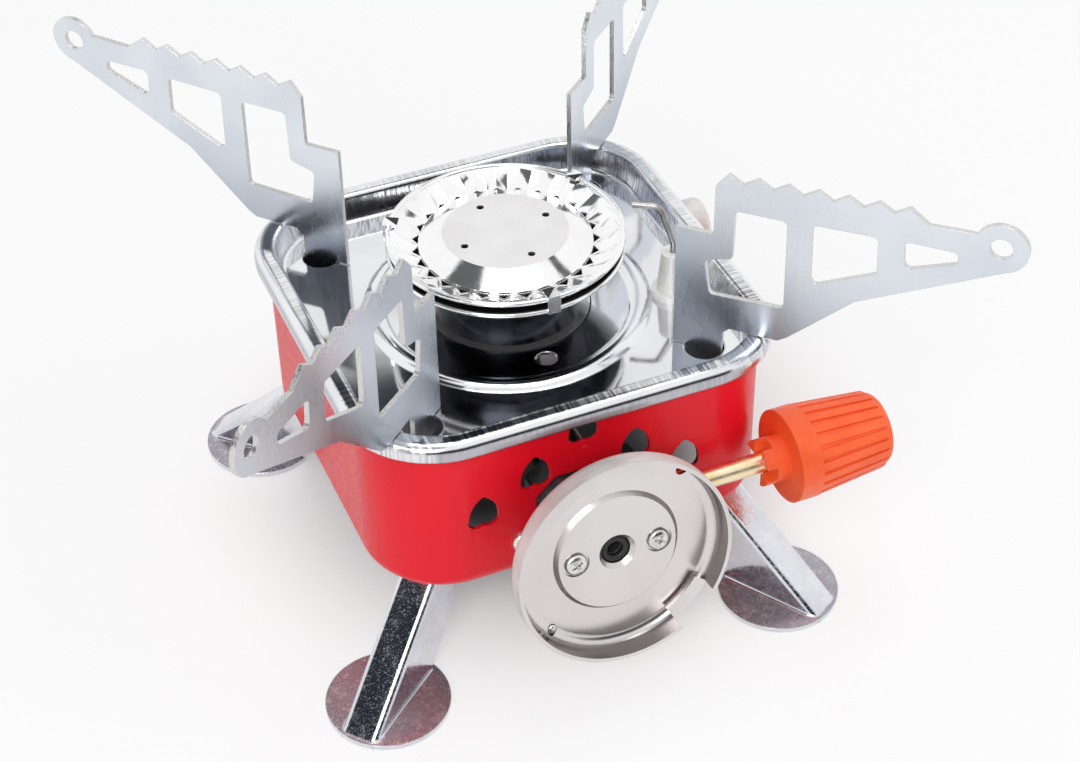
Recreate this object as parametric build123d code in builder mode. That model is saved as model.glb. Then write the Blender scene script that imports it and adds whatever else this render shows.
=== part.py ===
"""Folding camping gas stove: square housing, spill tray, fluted burner, swinging pot supports and legs.

Millimetres. The origin lies on the ground under the burner axis. +Z is up, +X runs along the front
face to the right, and the cartridge cup stands on the front, towards -Y.
"""

import os
from math import atan, cos, hypot, pi, radians, sin, sqrt, tan

from build123d import *

os.makedirs("parts", exist_ok=True)

# Fits and gaps
press_gap = 0.05  # round fits inside one body, on the radius
swing_gap = 0.3  # between faces that swing past each other
run_gap = 0.08  # a turning or sliding shaft in its hole, on the radius

# Housing: a drawn steel shell with an open base
housing_width = 83.0
housing_corner = 17.0
housing_wall = 0.8
housing_edge = 4.0
housing_bottom = 23.0
base_flange = 5.7  # turned-in strip round the open base
base_corner = 3.0

# Heart-shaped vents in an inverted V across the front
vent_count = 5
vent_pitch = 10.7
vent_drop = 6.15
vent_top_drop = 7.2
vent_shift = -1.5
heart_lobe = 1.45
heart_spread = 1.25
heart_length = 6.6

# Tray: a plated pan that sits on the housing
tray_overhang = 2.5
tray_corner = 19.0
tray_sheet = 0.7
tray_rim_top = 62.3
tray_skirt = 3.3
tray_depth = 5.9
tray_edge = 2.0
tray_lip_edge = 1.0
tray_slope = 0.9  # how far the pan wall leans in from rim to floor
tray_floor_edge = 1.6
bead_radius = 28.9  # ring bead round the burner
bead_width = 4.6
bead_height = 1.0
dish_depth = 0.4
dish_radius = 16.0
drain_radius = 2.2
drain_reach = 20.0

# Burner
burner_sheet = 0.5
base_foot_radius = 14.8
base_top_radius = 12.8
base_height = 7.0
pan_floor_radius = 11.6
pan_bow = 0.9
burner_rim_radius = 23.2  # centre of the rolled rims
rim_bead = 0.5
burner_rise = 10.2
rim_spacing = 2.6
crimp_count = 3
crimp_width = 2.6
crimp_reach = 2.4
flute_count = 27
flute_depth = 1.6
flute_rim_wave = 0.45
flute_rise = 2.7
port_gap = 0.3
cap_seat_lap = 2.7
cap_flat_radius = 12.5
cap_edge_radius = 17.2
cap_lip = 0.5
cap_hole_radius = 0.75
cap_hole_reach = 9.4
cap_hole_turn = 10.0

# Mixing tube from the jet up to the burner
tube_radius = 5.5
tube_wall = 0.8
tube_drop = 2.3
tube_bend = 14.0
jet_gap = 0.3
tube_flange = 2.0
air_hole_radius = 2.5
air_hole_setback = 3.4
lock_nut_flats = 16.0
lock_nut_height = 3.0

# Pot supports: flat plates that turn on a tab through the tray
support_inset = 11.0
support_sheet = 1.0
support_heel = 6.4
support_step_drop = 13.9  # drops are measured from the first tooth
support_riser = 1.0
tooth_count = 7
tooth_first = 3.4
tooth_pitch = 5.65
tooth_height = 1.75
tooth_rise = 35.6
tooth_rake = 2.3
crown_drop = 3.1
crown_end = 3.7
crown_end_rise = 1.6
tip_run = 16.9
tip_drop = 3.0
tip_radius = 5.0
tip_shoulder = 2.0
tip_under_width = 2.5
tip_under_drop = 4.2
tip_hole_radius = 2.1
belly_length = 28.9
belly_drop = 21.9
throat_length = 16.4
throat_rise = 1.5
throat_foot = 14.6
tab_root = 1.4
tab_half_width = 3.6
ear_overlap = 1.0
ear_height = 2.8
window_corner = 1.1
support_windows = [
    [(5.0, 7.6), (15.1, 7.5), (15.4, 27.4), (0.6, 28.0), (-0.5, 20.2), (4.9, 18.7)],
    [(19.8, 6.9), (32.1, 6.4), (32.5, 14.5), (20.2, 20.6)],
    [(36.9, 6.0), (46.9, 5.9), (46.9, 8.3), (37.4, 12.1)],
]

# Legs: folded channels that turn on a rivet under each corner
leg_inset = 6.65
leg_sheet = 1.0
leg_bend = 1.3
leg_fold = 0.8
leg_width = 8.0
leg_tip_reach = 28.2
leg_tip_edge = 0.6
leg_heel = 4.3
leg_knee = 2.5
leg_wall_foot = 7.0
leg_wall_rise = 12.0
foot_radius = 12.4
foot_reach = 16.2
rivet_radius = 1.7
rivet_head_radius = 2.5
rivet_head_height = 1.2
gusset_edge = 5.0

# Valve, cartridge cup and knob
cup_tilt = 9.3
cup_reach = 16.2
cup_rise = 6.3
cup_radius = 22.05
cup_sheet = 0.8
cup_depth = 6.0
cup_bend = 3.0  # outside radius between floor and wall
cup_raise = 0.8
cup_raise_radius = 12.2
cup_screw_spacing = 17.2
cup_screw_radius = 1.5
cup_screw_head_radius = 2.3
cup_screw_head = 1.3
cup_screw_length = 5.4
cup_screw_hole = 6.9
cup_screw_recess = 0.4
cup_screw_ring = 0.45  # recess round each head
cup_pierce_radius = 1.1
cup_pierce_x = 14.4
cup_pierce_y = 13.6
inlet_radius = 1.5
inlet_mouth_radius = 3.0
inlet_flare = 0.8
inlet_bore_length = 9.0
seal_section = 0.7
lug_start = 104.0
lug_end = 147.0
lug_depth = 1.6
notch_start = -61.0
notch_end = -35.0
notch_floor = 2.4
notch_tab = 3.2

valve_width = 22.4
valve_sill = 5.0
valve_height = 17.4
valve_chamfer = 4.0
valve_gap = 0.4  # between the block and its cut-out in the housing
valve_boss = 1.2
valve_boss_radius = 11.2
valve_ear = 6.3
valve_flange_height = 8.5
valve_flange_corner = 1.6
valve_flange = 3.2
valve_back = 6.0  # how far the block reaches inside the housing wall
valve_screw_offset = 3.2
valve_screw_rise = 4.0
valve_screw_radius = 1.5
valve_screw_head_radius = 2.6
valve_screw_head = 1.8
jet_flats = 7.0
jet_length = 5.0
jet_tip_radius = 1.6
jet_tip_length = 4.0
jet_bore_radius = 0.4

spindle_reach = 4.5
spindle_rise = 9.9
spindle_radius = 2.0
spindle_inner = 3.0
spindle_seat = 16.6
needle_length = 3.0
gland_flats = 7.4
gland_length = 5.0

knob_hub_radius = 4.7
knob_hub_start = 33.4
knob_hub_length = 5.2
knob_collar_length = 4.6
knob_collar_radius = 9.5
knob_grip_length = 17.0
knob_root_radius = 8.9
knob_end_radius = 7.3
knob_end_edge = 1.4
knob_rib_count = 22
knob_rib_width = 1.75
knob_rib_height = 0.5
knob_slot_width = 3.0
knob_slot_depth = 2.2

# Igniter on the right side, lead and electrode
igniter_y = 18.5
igniter_drop = 13.1
igniter_radius = 5.0
igniter_length = 25.5
igniter_flange_lip = 1.4
igniter_flange = 1.5
igniter_barrel_wall = 1.1
igniter_bore_depth = 19.0
igniter_nut_wall = 0.6
igniter_nut = 2.5
button_radius = 5.4
button_length = 5.6
button_edge = 1.2
button_travel = 4.0
button_stem = 13.0
electrode_inset = 9.1
electrode_y = -11.0
insulator_radius = 3.2
insulator_top_radius = 2.4
insulator_collar_radius = 4.2
insulator_collar = 1.4
insulator_stem_radius = 2.6
insulator_drop = 6.9
insulator_rise = 10.1
electrode_radius = 0.65
electrode_seat = 8.0
electrode_bend = 2.2
electrode_over = 2.5
electrode_knee_in = 1.9
electrode_knee_back = 2.6
spark_gap = 2.2
spark_turn = -12.3
lead_radius = 1.0
lead_bend = 4.0
lead_tube_gap = 2.0
lead_sag = 15.5
lead_drop = 16.5

# Derived levels and planes
housing_half = housing_width / 2
housing_inner = housing_half - housing_wall
housing_top = tray_rim_top - tray_sheet
housing_apex = sqrt(2) * (housing_half - housing_corner) + housing_corner
leg_pivot_reach = housing_apex - leg_inset
tray_width = housing_width + 2 * tray_overhang
pan_half = housing_inner - swing_gap
pan_corner = housing_corner - housing_wall - swing_gap
support_pivot = pan_half - support_inset
tab_hole_radius = hypot(tab_half_width, support_sheet / 2) + swing_gap
ear_half_width = tab_hole_radius + ear_overlap
tray_floor = tray_rim_top - tray_depth
tray_under = tray_floor - tray_sheet
dish_floor = tray_floor - dish_depth
base_top = dish_floor + base_height
pan_floor = base_top + burner_sheet
burner_top = pan_floor + burner_rise
tube_top = pan_floor + burner_sheet
ring_rim = burner_top - rim_bead
pan_rim = ring_rim - rim_spacing
ring_floor = ring_rim - flute_rise
flange_inner = cap_edge_radius - cap_seat_lap
flute_inner = cap_edge_radius + port_gap
flute_outer = flute_inner + flute_depth
lock_nut_low = dish_floor - tray_sheet - lock_nut_height
tube_height = lock_nut_low - tube_bend - tube_drop
inside_y = -housing_inner
block_back = inside_y + valve_back
tube_mouth = -(block_back + jet_length + jet_gap)
air_hole_reach = tube_mouth - air_hole_setback
leg_top = housing_bottom - swing_gap
corner_turns = {"front_left": 225.0, "front_right": 315.0, "back_right": 45.0, "back_left": 135.0}
support_turns = {"front_left": -4.0, "front_right": -1.0, "back_right": -3.5, "back_left": -3.5}
leg_turns = {"front_left": -5.5, "front_right": -13.0, "back_right": 0.0, "back_left": 0.0}
valve_bottom = housing_bottom + valve_sill
valve_top = valve_bottom + valve_height
valve_flange_top = valve_bottom + valve_flange_height
valve_flange_width = valve_width + 2 * valve_ear
valve_screw_x = valve_width / 2 + valve_screw_offset
valve_screw_z = valve_bottom + valve_screw_rise
spindle_y = -(housing_half + spindle_reach)
spindle_z = valve_bottom + spindle_rise
knob_collar_start = knob_hub_start + knob_hub_length
knob_grip_start = knob_collar_start + knob_collar_length
knob_end = knob_grip_start + knob_grip_length
spindle_outer = knob_hub_start + spindle_seat
igniter_z = housing_top - igniter_drop
igniter_flange_radius = igniter_radius + igniter_flange_lip
igniter_bore_radius = igniter_radius - igniter_barrel_wall
igniter_nut_flats = 2 * (igniter_radius + igniter_nut_wall)
electrode_x = pan_half - electrode_inset
electrode_tip_z = burner_top + electrode_over

cup_normal = Vector(0, -cos(radians(cup_tilt)), sin(radians(cup_tilt)))
cup_up = Vector(0, sin(radians(cup_tilt)), cos(radians(cup_tilt)))
cup_lip = Vector(0, -(housing_half + cup_reach), valve_bottom + cup_rise)
cup_back = cup_lip - cup_normal * cup_depth
cup_plane = Plane(origin=cup_back, x_dir=(1, 0, 0), z_dir=cup_normal)
cup_section = Plane(origin=cup_back, x_dir=(1, 0, 0), z_dir=-cup_up)
cup_axis = Axis(cup_back, cup_normal)
front_plane = Plane(origin=(0, -housing_half, 0), x_dir=(1, 0, 0), z_dir=(0, -1, 0))
right_plane = Plane(origin=(housing_half, 0, 0), x_dir=(0, 1, 0), z_dir=(1, 0, 0))
spindle_plane = Plane(origin=(0, spindle_y, spindle_z), x_dir=(0, 1, 0), z_dir=(1, 0, 0))
spindle_axis = Axis((0, spindle_y, spindle_z), (1, 0, 0))
spindle_section = Plane(origin=(0, spindle_y, spindle_z), x_dir=(1, 0, 0), z_dir=(0, -1, 0))
igniter_axis = Axis((0, igniter_y, igniter_z), (1, 0, 0))
igniter_section = Plane(origin=(0, igniter_y, igniter_z), x_dir=(1, 0, 0), z_dir=(0, -1, 0))
igniter_plane = Plane(origin=(0, igniter_y, igniter_z), x_dir=(0, 1, 0), z_dir=(1, 0, 0))


def save(builder, name):
    """Label a finished piece and write it."""
    builder.part.label = name
    export_step(builder.part, f"parts/{name}.step")


def outline(*points):
    """A closed face through the given points, in the current sketch."""
    Polygon(*points, align=None)


def polar(reach, turn):
    """A point at a distance and heading from the axis."""
    return (reach * cos(radians(turn)), reach * sin(radians(turn)))


def heart():
    """One inverted heart, point up, centred on the current location."""
    point = heart_length - heart_lobe - heart_length / 2
    low = heart_lobe - heart_length / 2
    reach = hypot(heart_spread, point - low)
    lean = atan(heart_spread / (point - low)) + atan(heart_lobe / sqrt(reach**2 - heart_lobe**2))
    side = sqrt(reach**2 - heart_lobe**2)
    touch = (side * sin(lean), point - side * cos(lean))
    with Locations((heart_spread, low), (-heart_spread, low)):
        Circle(heart_lobe)
    Polygon(
        (0, point), (-touch[0], touch[1]), (-heart_spread, low), (0, low), (heart_spread, low), touch,
        align=None,
    )


# Housing
opening = 2 * (housing_inner - base_flange)
opening_cut = opening - sqrt(2) * (leg_pivot_reach - gusset_edge)
with BuildPart() as housing:
    with BuildSketch(Plane.XY.offset(housing_bottom)):
        RectangleRounded(housing_width, housing_width, housing_corner)
    extrude(amount=housing_top - housing_bottom)
    fillet(housing.faces().sort_by(Axis.Z)[0].edges(), radius=housing_edge)
    offset(amount=-housing_wall, openings=housing.faces().sort_by(Axis.Z)[-1])
    with BuildSketch(Plane.XY.offset(housing_bottom)) as base_hole:
        Rectangle(opening, opening)
        chamfer(base_hole.vertices(), length=opening_cut)
        fillet(base_hole.vertices(), radius=base_corner)
    extrude(amount=housing_wall, mode=Mode.SUBTRACT)
    with BuildSketch(Plane.XY.offset(housing_bottom)):
        with PolarLocations(leg_pivot_reach, 4, start_angle=45):
            Circle(rivet_radius + press_gap)
    extrude(amount=housing_wall, mode=Mode.SUBTRACT)
    with BuildSketch(front_plane):
        for step in range(vent_count):
            place = step - (vent_count - 1) / 2
            vent_z = housing_top - vent_top_drop - abs(place) * vent_drop
            with Locations((vent_shift + place * vent_pitch, vent_z)):
                heart()
        with Locations((0, (valve_bottom + valve_top) / 2)):
            Rectangle(valve_width + 2 * valve_gap, valve_top - valve_bottom + 2 * valve_gap)
        with Locations((-valve_screw_x, valve_screw_z), (valve_screw_x, valve_screw_z)):
            Circle(valve_screw_radius + press_gap)
    extrude(amount=-2 * housing_wall, mode=Mode.SUBTRACT)
    with BuildSketch(right_plane):
        with Locations((igniter_y, igniter_z)):
            Circle(igniter_radius + press_gap)
    extrude(amount=-2 * housing_wall, mode=Mode.SUBTRACT)
save(housing, "housing")

# Tray
bead_inner = bead_radius - bead_width
bead_middle = bead_radius - bead_width / 2
with BuildPart() as rim_hollow:
    with BuildSketch(Plane.XY.offset(tray_rim_top - tray_skirt)):
        RectangleRounded(
            tray_width - 2 * tray_sheet, tray_width - 2 * tray_sheet, tray_corner - tray_sheet
        )
    extrude(amount=tray_skirt - tray_sheet)
    fillet(rim_hollow.faces().sort_by(Axis.Z)[-1].edges(), radius=tray_edge - tray_sheet)

with BuildPart() as tray:
    with BuildSketch(Plane.XY.offset(tray_rim_top - tray_skirt)):
        RectangleRounded(tray_width, tray_width, tray_corner)
    extrude(amount=tray_skirt)
    fillet(tray.faces().sort_by(Axis.Z)[-1].edges(), radius=tray_edge)
    add(rim_hollow.part, mode=Mode.SUBTRACT)
    with BuildSketch(Plane.XY.offset(tray_rim_top)):
        RectangleRounded(2 * pan_half, 2 * pan_half, pan_corner)
    with BuildSketch(Plane.XY.offset(tray_under)):
        RectangleRounded(2 * (pan_half - tray_slope), 2 * (pan_half - tray_slope), pan_corner - tray_slope)
    loft()
    fillet(tray.faces().sort_by(Axis.Z)[0].edges(), radius=tray_floor_edge)
    with BuildSketch(Plane.XY.offset(tray_rim_top)):
        RectangleRounded(
            2 * (pan_half - tray_sheet), 2 * (pan_half - tray_sheet), pan_corner - tray_sheet
        )
    with BuildSketch(Plane.XY.offset(tray_floor)):
        RectangleRounded(
            2 * (pan_half - tray_sheet - tray_slope), 2 * (pan_half - tray_sheet - tray_slope),
            pan_corner - tray_sheet - tray_slope,
        )
    loft(mode=Mode.SUBTRACT)
    floor_face = tray.faces().filter_by(Plane.XY).sort_by(Axis.Z)[1]
    fillet(floor_face.outer_wire().edges(), radius=tray_floor_edge - tray_sheet)
    rim_face = tray.faces().filter_by(Plane.XY).sort_by(Axis.Z)[-1]
    fillet(rim_face.inner_wires()[0].edges(), radius=tray_lip_edge)
    with BuildSketch(Plane.XY.offset(tray_under)):
        Circle(bead_radius)
    extrude(amount=2 * tray_sheet, mode=Mode.SUBTRACT)
    with BuildSketch(Plane.XZ):
        with BuildLine():
            Line((bead_radius, tray_under), (bead_radius, tray_floor))
            ThreePointArc(
                (bead_radius, tray_floor), (bead_middle, tray_floor + bead_height), (bead_inner, tray_floor)
            )
            Polyline(
                (bead_inner, tray_floor),
                (dish_radius, dish_floor),
                (tube_radius + press_gap, dish_floor),
                (tube_radius + press_gap, dish_floor - tray_sheet),
                (dish_radius, dish_floor - tray_sheet),
                (bead_inner + tray_sheet, tray_under),
            )
            ThreePointArc(
                (bead_inner + tray_sheet, tray_under),
                (bead_middle, tray_under + bead_height),
                (bead_radius - tray_sheet, tray_under),
            )
            Line((bead_radius - tray_sheet, tray_under), (bead_radius, tray_under))
        make_face()
    revolve(axis=Axis.Z)
    with BuildSketch(Plane.XY.offset(tray_under)):
        with PolarLocations(support_pivot * sqrt(2), 4, start_angle=45):
            Circle(tab_hole_radius)
        with Locations((electrode_x, electrode_y)):
            Circle(insulator_stem_radius + press_gap)
    extrude(amount=tray_sheet, mode=Mode.SUBTRACT)
    with BuildSketch(Plane.XY.offset(tray_under - tray_sheet)):
        with Locations((0, -drain_reach)):
            Circle(drain_radius)
    extrude(amount=3 * tray_sheet, mode=Mode.SUBTRACT)
save(tray, "tray")

# Burner base: a conical skirt on the tray
with BuildPart() as burner_base:
    with BuildSketch(Plane.XZ):
        outline(
            (base_foot_radius, dish_floor),
            (base_top_radius, base_top),
            (tube_radius + press_gap, base_top),
            (tube_radius + press_gap, base_top - burner_sheet),
            (base_top_radius - burner_sheet, base_top - burner_sheet),
            (base_foot_radius - burner_sheet, dish_floor),
        )
    revolve(axis=Axis.Z)
save(burner_base, "burner_base")

# Burner pan: a bowl with a rolled rim and crimp tabs over the flame ring
with BuildPart() as burner_pan:
    with BuildSketch(Plane.XZ):
        pan_edge = (burner_rim_radius, pan_rim)
        pan_mid = ((pan_floor_radius + burner_rim_radius) / 2 + pan_bow, (base_top + pan_rim) / 2 - pan_bow)
        with BuildLine():
            Polyline((tube_radius + press_gap, base_top), (pan_floor_radius, base_top))
            ThreePointArc((pan_floor_radius, base_top), pan_mid, pan_edge)
            Line(pan_edge, (pan_edge[0], pan_edge[1] + burner_sheet))
            ThreePointArc(
                (pan_edge[0], pan_edge[1] + burner_sheet),
                (pan_mid[0], pan_mid[1] + burner_sheet),
                (pan_floor_radius, pan_floor),
            )
            Polyline(
                (pan_floor_radius, pan_floor),
                (tube_radius + press_gap, pan_floor),
                (tube_radius + press_gap, base_top),
            )
        make_face()
        with Locations((burner_rim_radius, pan_rim)):
            Circle(rim_bead)
    revolve(axis=Axis.Z)
    for step in range(crimp_count):
        heading = -90 + 360 / crimp_count * step
        radial = (*polar(1, heading), 0)
        crimp_plane = Plane(origin=(0, 0, 0), x_dir=radial, z_dir=Vector(*radial).rotate(Axis.Z, -90))
        outer = burner_rim_radius + rim_bead + press_gap
        with BuildSketch(crimp_plane):
            outline(
                (outer, pan_rim - rim_bead / 2),
                (outer + burner_sheet, pan_rim - rim_bead / 2),
                (outer + burner_sheet, burner_top + press_gap + burner_sheet),
                (outer - crimp_reach, burner_top + press_gap + burner_sheet),
                (outer - crimp_reach, burner_top + press_gap),
                (outer, burner_top + press_gap),
            )
            outline(
                (burner_rim_radius, pan_rim - rim_bead / 2),
                (outer + burner_sheet, pan_rim - rim_bead / 2),
                (outer + burner_sheet, pan_rim + rim_bead / 2),
                (burner_rim_radius, pan_rim + rim_bead / 2),
            )
        extrude(amount=crimp_width / 2, both=True)
save(burner_pan, "burner_pan")

# Flame ring: a pleated cone with gas ports round the cap and a rolled rim
def flute_points(low, high):
    """A zigzag ring of points, two for each flute."""
    turn = 180 / flute_count
    return [polar(high if step % 2 else low, step * turn) for step in range(2 * flute_count)]


rim_wave_low = burner_rim_radius - flute_rim_wave
with BuildPart() as flame_ring:
    with BuildSketch(Plane.XY.offset(ring_floor)):
        outline(*flute_points(flute_inner, flute_outer))
    with BuildSketch(Plane.XY.offset(ring_rim)):
        outline(*flute_points(rim_wave_low, burner_rim_radius))
    loft(ruled=True)
    with BuildSketch(Plane.XY.offset(ring_floor + burner_sheet)):
        outline(*flute_points(flute_inner, flute_outer))
    with BuildSketch(Plane.XY.offset(ring_rim + burner_sheet)):
        outline(*flute_points(rim_wave_low, burner_rim_radius))
    loft(ruled=True, mode=Mode.SUBTRACT)
    with BuildSketch(Plane.XY.offset(ring_floor)):
        outline(*flute_points(flute_inner - burner_sheet, flute_outer - burner_sheet))
        Circle(flute_inner - burner_sheet / 2, mode=Mode.SUBTRACT)
        Circle(flange_inner)
    extrude(amount=burner_sheet, mode=Mode.SUBTRACT)
    with BuildSketch(Plane.XZ):
        with Locations((burner_rim_radius, ring_rim)):
            Circle(rim_bead)
    revolve(axis=Axis.Z)
save(flame_ring, "flame_ring")

# Burner cap: flat top, cone and lip that rests on the flame ring
cap_seat = ring_floor + burner_sheet
with BuildPart() as burner_cap:
    with BuildSketch(Plane.XZ):
        outline(
            (0, burner_top),
            (cap_flat_radius, burner_top),
            (cap_edge_radius, cap_seat + cap_lip),
            (cap_edge_radius, cap_seat),
            (cap_edge_radius - burner_sheet, cap_seat),
            (cap_edge_radius - burner_sheet, cap_seat + cap_lip - burner_sheet / 2),
            (cap_flat_radius - burner_sheet / 2, burner_top - burner_sheet),
            (0, burner_top - burner_sheet),
        )
    revolve(axis=Axis.Z)
    with BuildSketch(Plane.XY.offset(burner_top)):
        with PolarLocations(cap_hole_reach, 4, start_angle=cap_hole_turn):
            Circle(cap_hole_radius)
    extrude(amount=-burner_sheet, mode=Mode.SUBTRACT)
save(burner_cap, "burner_cap")

# Mixing tube: open mouth by the jet, air holes, bend and flanged top
with BuildPart() as mixing_tube:
    with BuildLine():
        Polyline((0, -tube_mouth, tube_height), (0, -tube_bend, tube_height))
        ThreePointArc(
            (0, -tube_bend, tube_height),
            (0, -tube_bend * (1 - sin(pi / 4)), tube_height + tube_bend * (1 - cos(pi / 4))),
            (0, 0, tube_height + tube_bend),
        )
        Line((0, 0, tube_height + tube_bend), (0, 0, tube_top))
    with BuildSketch(Plane(origin=(0, -tube_mouth, tube_height), x_dir=(1, 0, 0), z_dir=(0, 1, 0))):
        Circle(tube_radius)
        Circle(tube_radius - tube_wall, mode=Mode.SUBTRACT)
    sweep()
    with BuildSketch(Plane.XY.offset(pan_floor)):
        Circle(tube_radius + tube_flange)
        Circle(tube_radius - tube_wall, mode=Mode.SUBTRACT)
    extrude(amount=burner_sheet)
    with BuildSketch(Plane.YZ):
        with Locations((-air_hole_reach, tube_height)):
            Circle(air_hole_radius)
    extrude(amount=2 * tube_radius, both=True, mode=Mode.SUBTRACT)
save(mixing_tube, "mixing_tube")

# Lock nut that draws the mixing tube's flange down on the burner and tray
with BuildPart() as lock_nut:
    with BuildSketch(Plane.XY.offset(lock_nut_low)):
        RegularPolygon(lock_nut_flats / 2, 6, major_radius=False)
        Circle(tube_radius + press_gap, mode=Mode.SUBTRACT)
    extrude(amount=lock_nut_height)
save(lock_nut, "lock_nut")

# Valve block: a casting through the front wall, with a flange inside and a round boss under the cup
boss_top = cup_raise
block_front = cup_plane.offset(boss_top - valve_boss)
with BuildPart() as valve_body:
    with BuildSketch(Plane.YZ):
        front_lean = tan(radians(cup_tilt))
        front_y = block_front.origin.Y
        front_z = block_front.origin.Z
        outline(
            (front_y + (valve_bottom - front_z) * front_lean, valve_bottom),
            (block_back, valve_bottom),
            (block_back, valve_top),
            (front_y + (valve_top - front_z) * front_lean, valve_top),
        )
    extrude(amount=valve_width / 2, both=True)
    chamfer(valve_body.edges().filter_by(Axis.Y).group_by(Axis.Z)[-1], length=valve_chamfer)
    with BuildSketch(Plane(origin=(0, inside_y, 0), x_dir=(1, 0, 0), z_dir=(0, -1, 0))):
        with Locations((0, (valve_bottom + valve_flange_top) / 2)):
            RectangleRounded(valve_flange_width, valve_flange_height, valve_flange_corner)
    extrude(amount=-valve_flange)
    with BuildSketch(block_front):
        Circle(valve_boss_radius)
    extrude(amount=valve_boss)
    with BuildSketch(cup_plane.offset(boss_top)):
        Circle(inlet_mouth_radius)
    extrude(amount=-2 * seal_section, mode=Mode.SUBTRACT)
    with BuildSketch(cup_plane.offset(boss_top - 2 * seal_section)):
        Circle(inlet_radius)
    extrude(amount=-inlet_bore_length, mode=Mode.SUBTRACT)
    with BuildSketch(cup_plane.offset(boss_top)):
        with GridLocations(cup_screw_spacing, 0, 2, 1):
            Circle(cup_screw_radius + press_gap)
    extrude(amount=-cup_screw_hole, mode=Mode.SUBTRACT)
    with BuildSketch(Plane(origin=(0, inside_y, 0), x_dir=(1, 0, 0), z_dir=(0, -1, 0))):
        with Locations((-valve_screw_x, valve_screw_z), (valve_screw_x, valve_screw_z)):
            Circle(valve_screw_radius + press_gap)
    extrude(amount=-valve_flange, mode=Mode.SUBTRACT)
    with BuildSketch(spindle_plane.offset(spindle_inner - needle_length)):
        Circle(spindle_radius + run_gap)
    extrude(amount=valve_width, mode=Mode.SUBTRACT)
save(valve_body, "valve_body")

# Gas jet: hex body on the back of the valve, its tip in the mouth of the mixing tube
with BuildPart() as gas_jet:
    with BuildSketch(Plane(origin=(0, block_back, tube_height), x_dir=(1, 0, 0), z_dir=(0, 1, 0))):
        RegularPolygon(jet_flats / 2, 6, major_radius=False)
    extrude(amount=jet_length)
    with BuildSketch(Plane(origin=(0, block_back, tube_height), x_dir=(1, 0, 0), z_dir=(0, 1, 0))):
        Circle(jet_tip_radius)
    extrude(amount=jet_length + jet_tip_length)
    with BuildSketch(Plane(origin=(0, block_back, tube_height), x_dir=(1, 0, 0), z_dir=(0, 1, 0))):
        Circle(jet_bore_radius)
    extrude(amount=jet_length + jet_tip_length, mode=Mode.SUBTRACT)
save(gas_jet, "gas_jet")

# Cartridge cup: stainless pressing with a raised centre, a bayonet lug and a bent-in tab
raise_front = cup_sheet + cup_raise
screw_seat = raise_front - cup_screw_recess
far_reach = 2 * cup_radius
with BuildPart() as cartridge_cup:
    with BuildSketch(cup_section) as cup_profile:
        outline(
            (inlet_mouth_radius, cup_raise),
            (cup_raise_radius - cup_sheet, cup_raise),
            (cup_raise_radius, 0),
            (cup_radius, 0),
            (cup_radius, cup_depth),
            (cup_radius - cup_sheet, cup_depth),
            (cup_radius - cup_sheet, cup_sheet),
            (cup_raise_radius + cup_sheet, cup_sheet),
            (cup_raise_radius, raise_front),
            (inlet_mouth_radius + inlet_flare, raise_front),
        )
        fillet(cup_profile.vertices().sort_by_distance((cup_radius, 0))[0], radius=cup_bend)
        inside_foot = (cup_radius - cup_sheet, cup_sheet)
        fillet(cup_profile.vertices().sort_by_distance(inside_foot)[0], radius=cup_bend - cup_sheet)
    revolve(axis=cup_axis)
    with BuildSketch(cup_plane):
        with GridLocations(cup_screw_spacing, 0, 2, 1):
            Circle(cup_screw_radius + press_gap)
    extrude(amount=raise_front, mode=Mode.SUBTRACT)
    with BuildSketch(cup_plane.offset(screw_seat)):
        with GridLocations(cup_screw_spacing, 0, 2, 1):
            Circle(cup_screw_head_radius + cup_screw_ring)
    extrude(amount=cup_screw_recess, mode=Mode.SUBTRACT)
    with BuildSketch(cup_plane):
        with Locations((cup_pierce_x, cup_pierce_y), (-cup_pierce_x, -cup_pierce_y)):
            Circle(cup_pierce_radius)
    extrude(amount=cup_depth / 2, mode=Mode.SUBTRACT)
    with BuildSketch(cup_plane.offset(cup_depth)):
        outline((0, 0), polar(far_reach, notch_start), polar(far_reach, notch_end))
    extrude(amount=-(cup_depth - notch_floor), mode=Mode.SUBTRACT)
    with BuildSketch(cup_plane.offset(notch_floor - cup_sheet)):
        outline((0, 0), polar(cup_radius, notch_start), polar(cup_radius, notch_end))
        Circle(cup_radius - notch_tab, mode=Mode.SUBTRACT)
    extrude(amount=cup_sheet)
    with BuildSketch(cup_plane.offset(cup_depth - cup_sheet)):
        outline((0, 0), polar(far_reach, lug_start), polar(far_reach, lug_end))
        Circle(cup_radius - cup_sheet / 2, mode=Mode.INTERSECT)
        Circle(cup_radius - cup_sheet - lug_depth, mode=Mode.SUBTRACT)
    extrude(amount=cup_sheet)
save(cartridge_cup, "cartridge_cup")

# Screws that hold the cup on the valve
with BuildPart() as cup_screws:
    with BuildSketch(cup_plane.offset(screw_seat)):
        with GridLocations(cup_screw_spacing, 0, 2, 1):
            Circle(cup_screw_head_radius)
    extrude(amount=cup_screw_head)
    fillet(cup_screws.faces().group_by(cup_axis)[-1].edges(), radius=cup_screw_head / 2)
    with BuildSketch(cup_plane.offset(screw_seat)):
        with GridLocations(cup_screw_spacing, 0, 2, 1):
            Circle(cup_screw_radius)
    extrude(amount=-cup_screw_length)
save(cup_screws, "cup_screws")

# Rubber seal in the inlet
with BuildPart() as inlet_seal:
    with BuildSketch(cup_section):
        with Locations((inlet_mouth_radius - press_gap - seal_section, boss_top - seal_section)):
            Circle(seal_section)
    revolve(axis=cup_axis)
save(inlet_seal, "inlet_seal")

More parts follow.
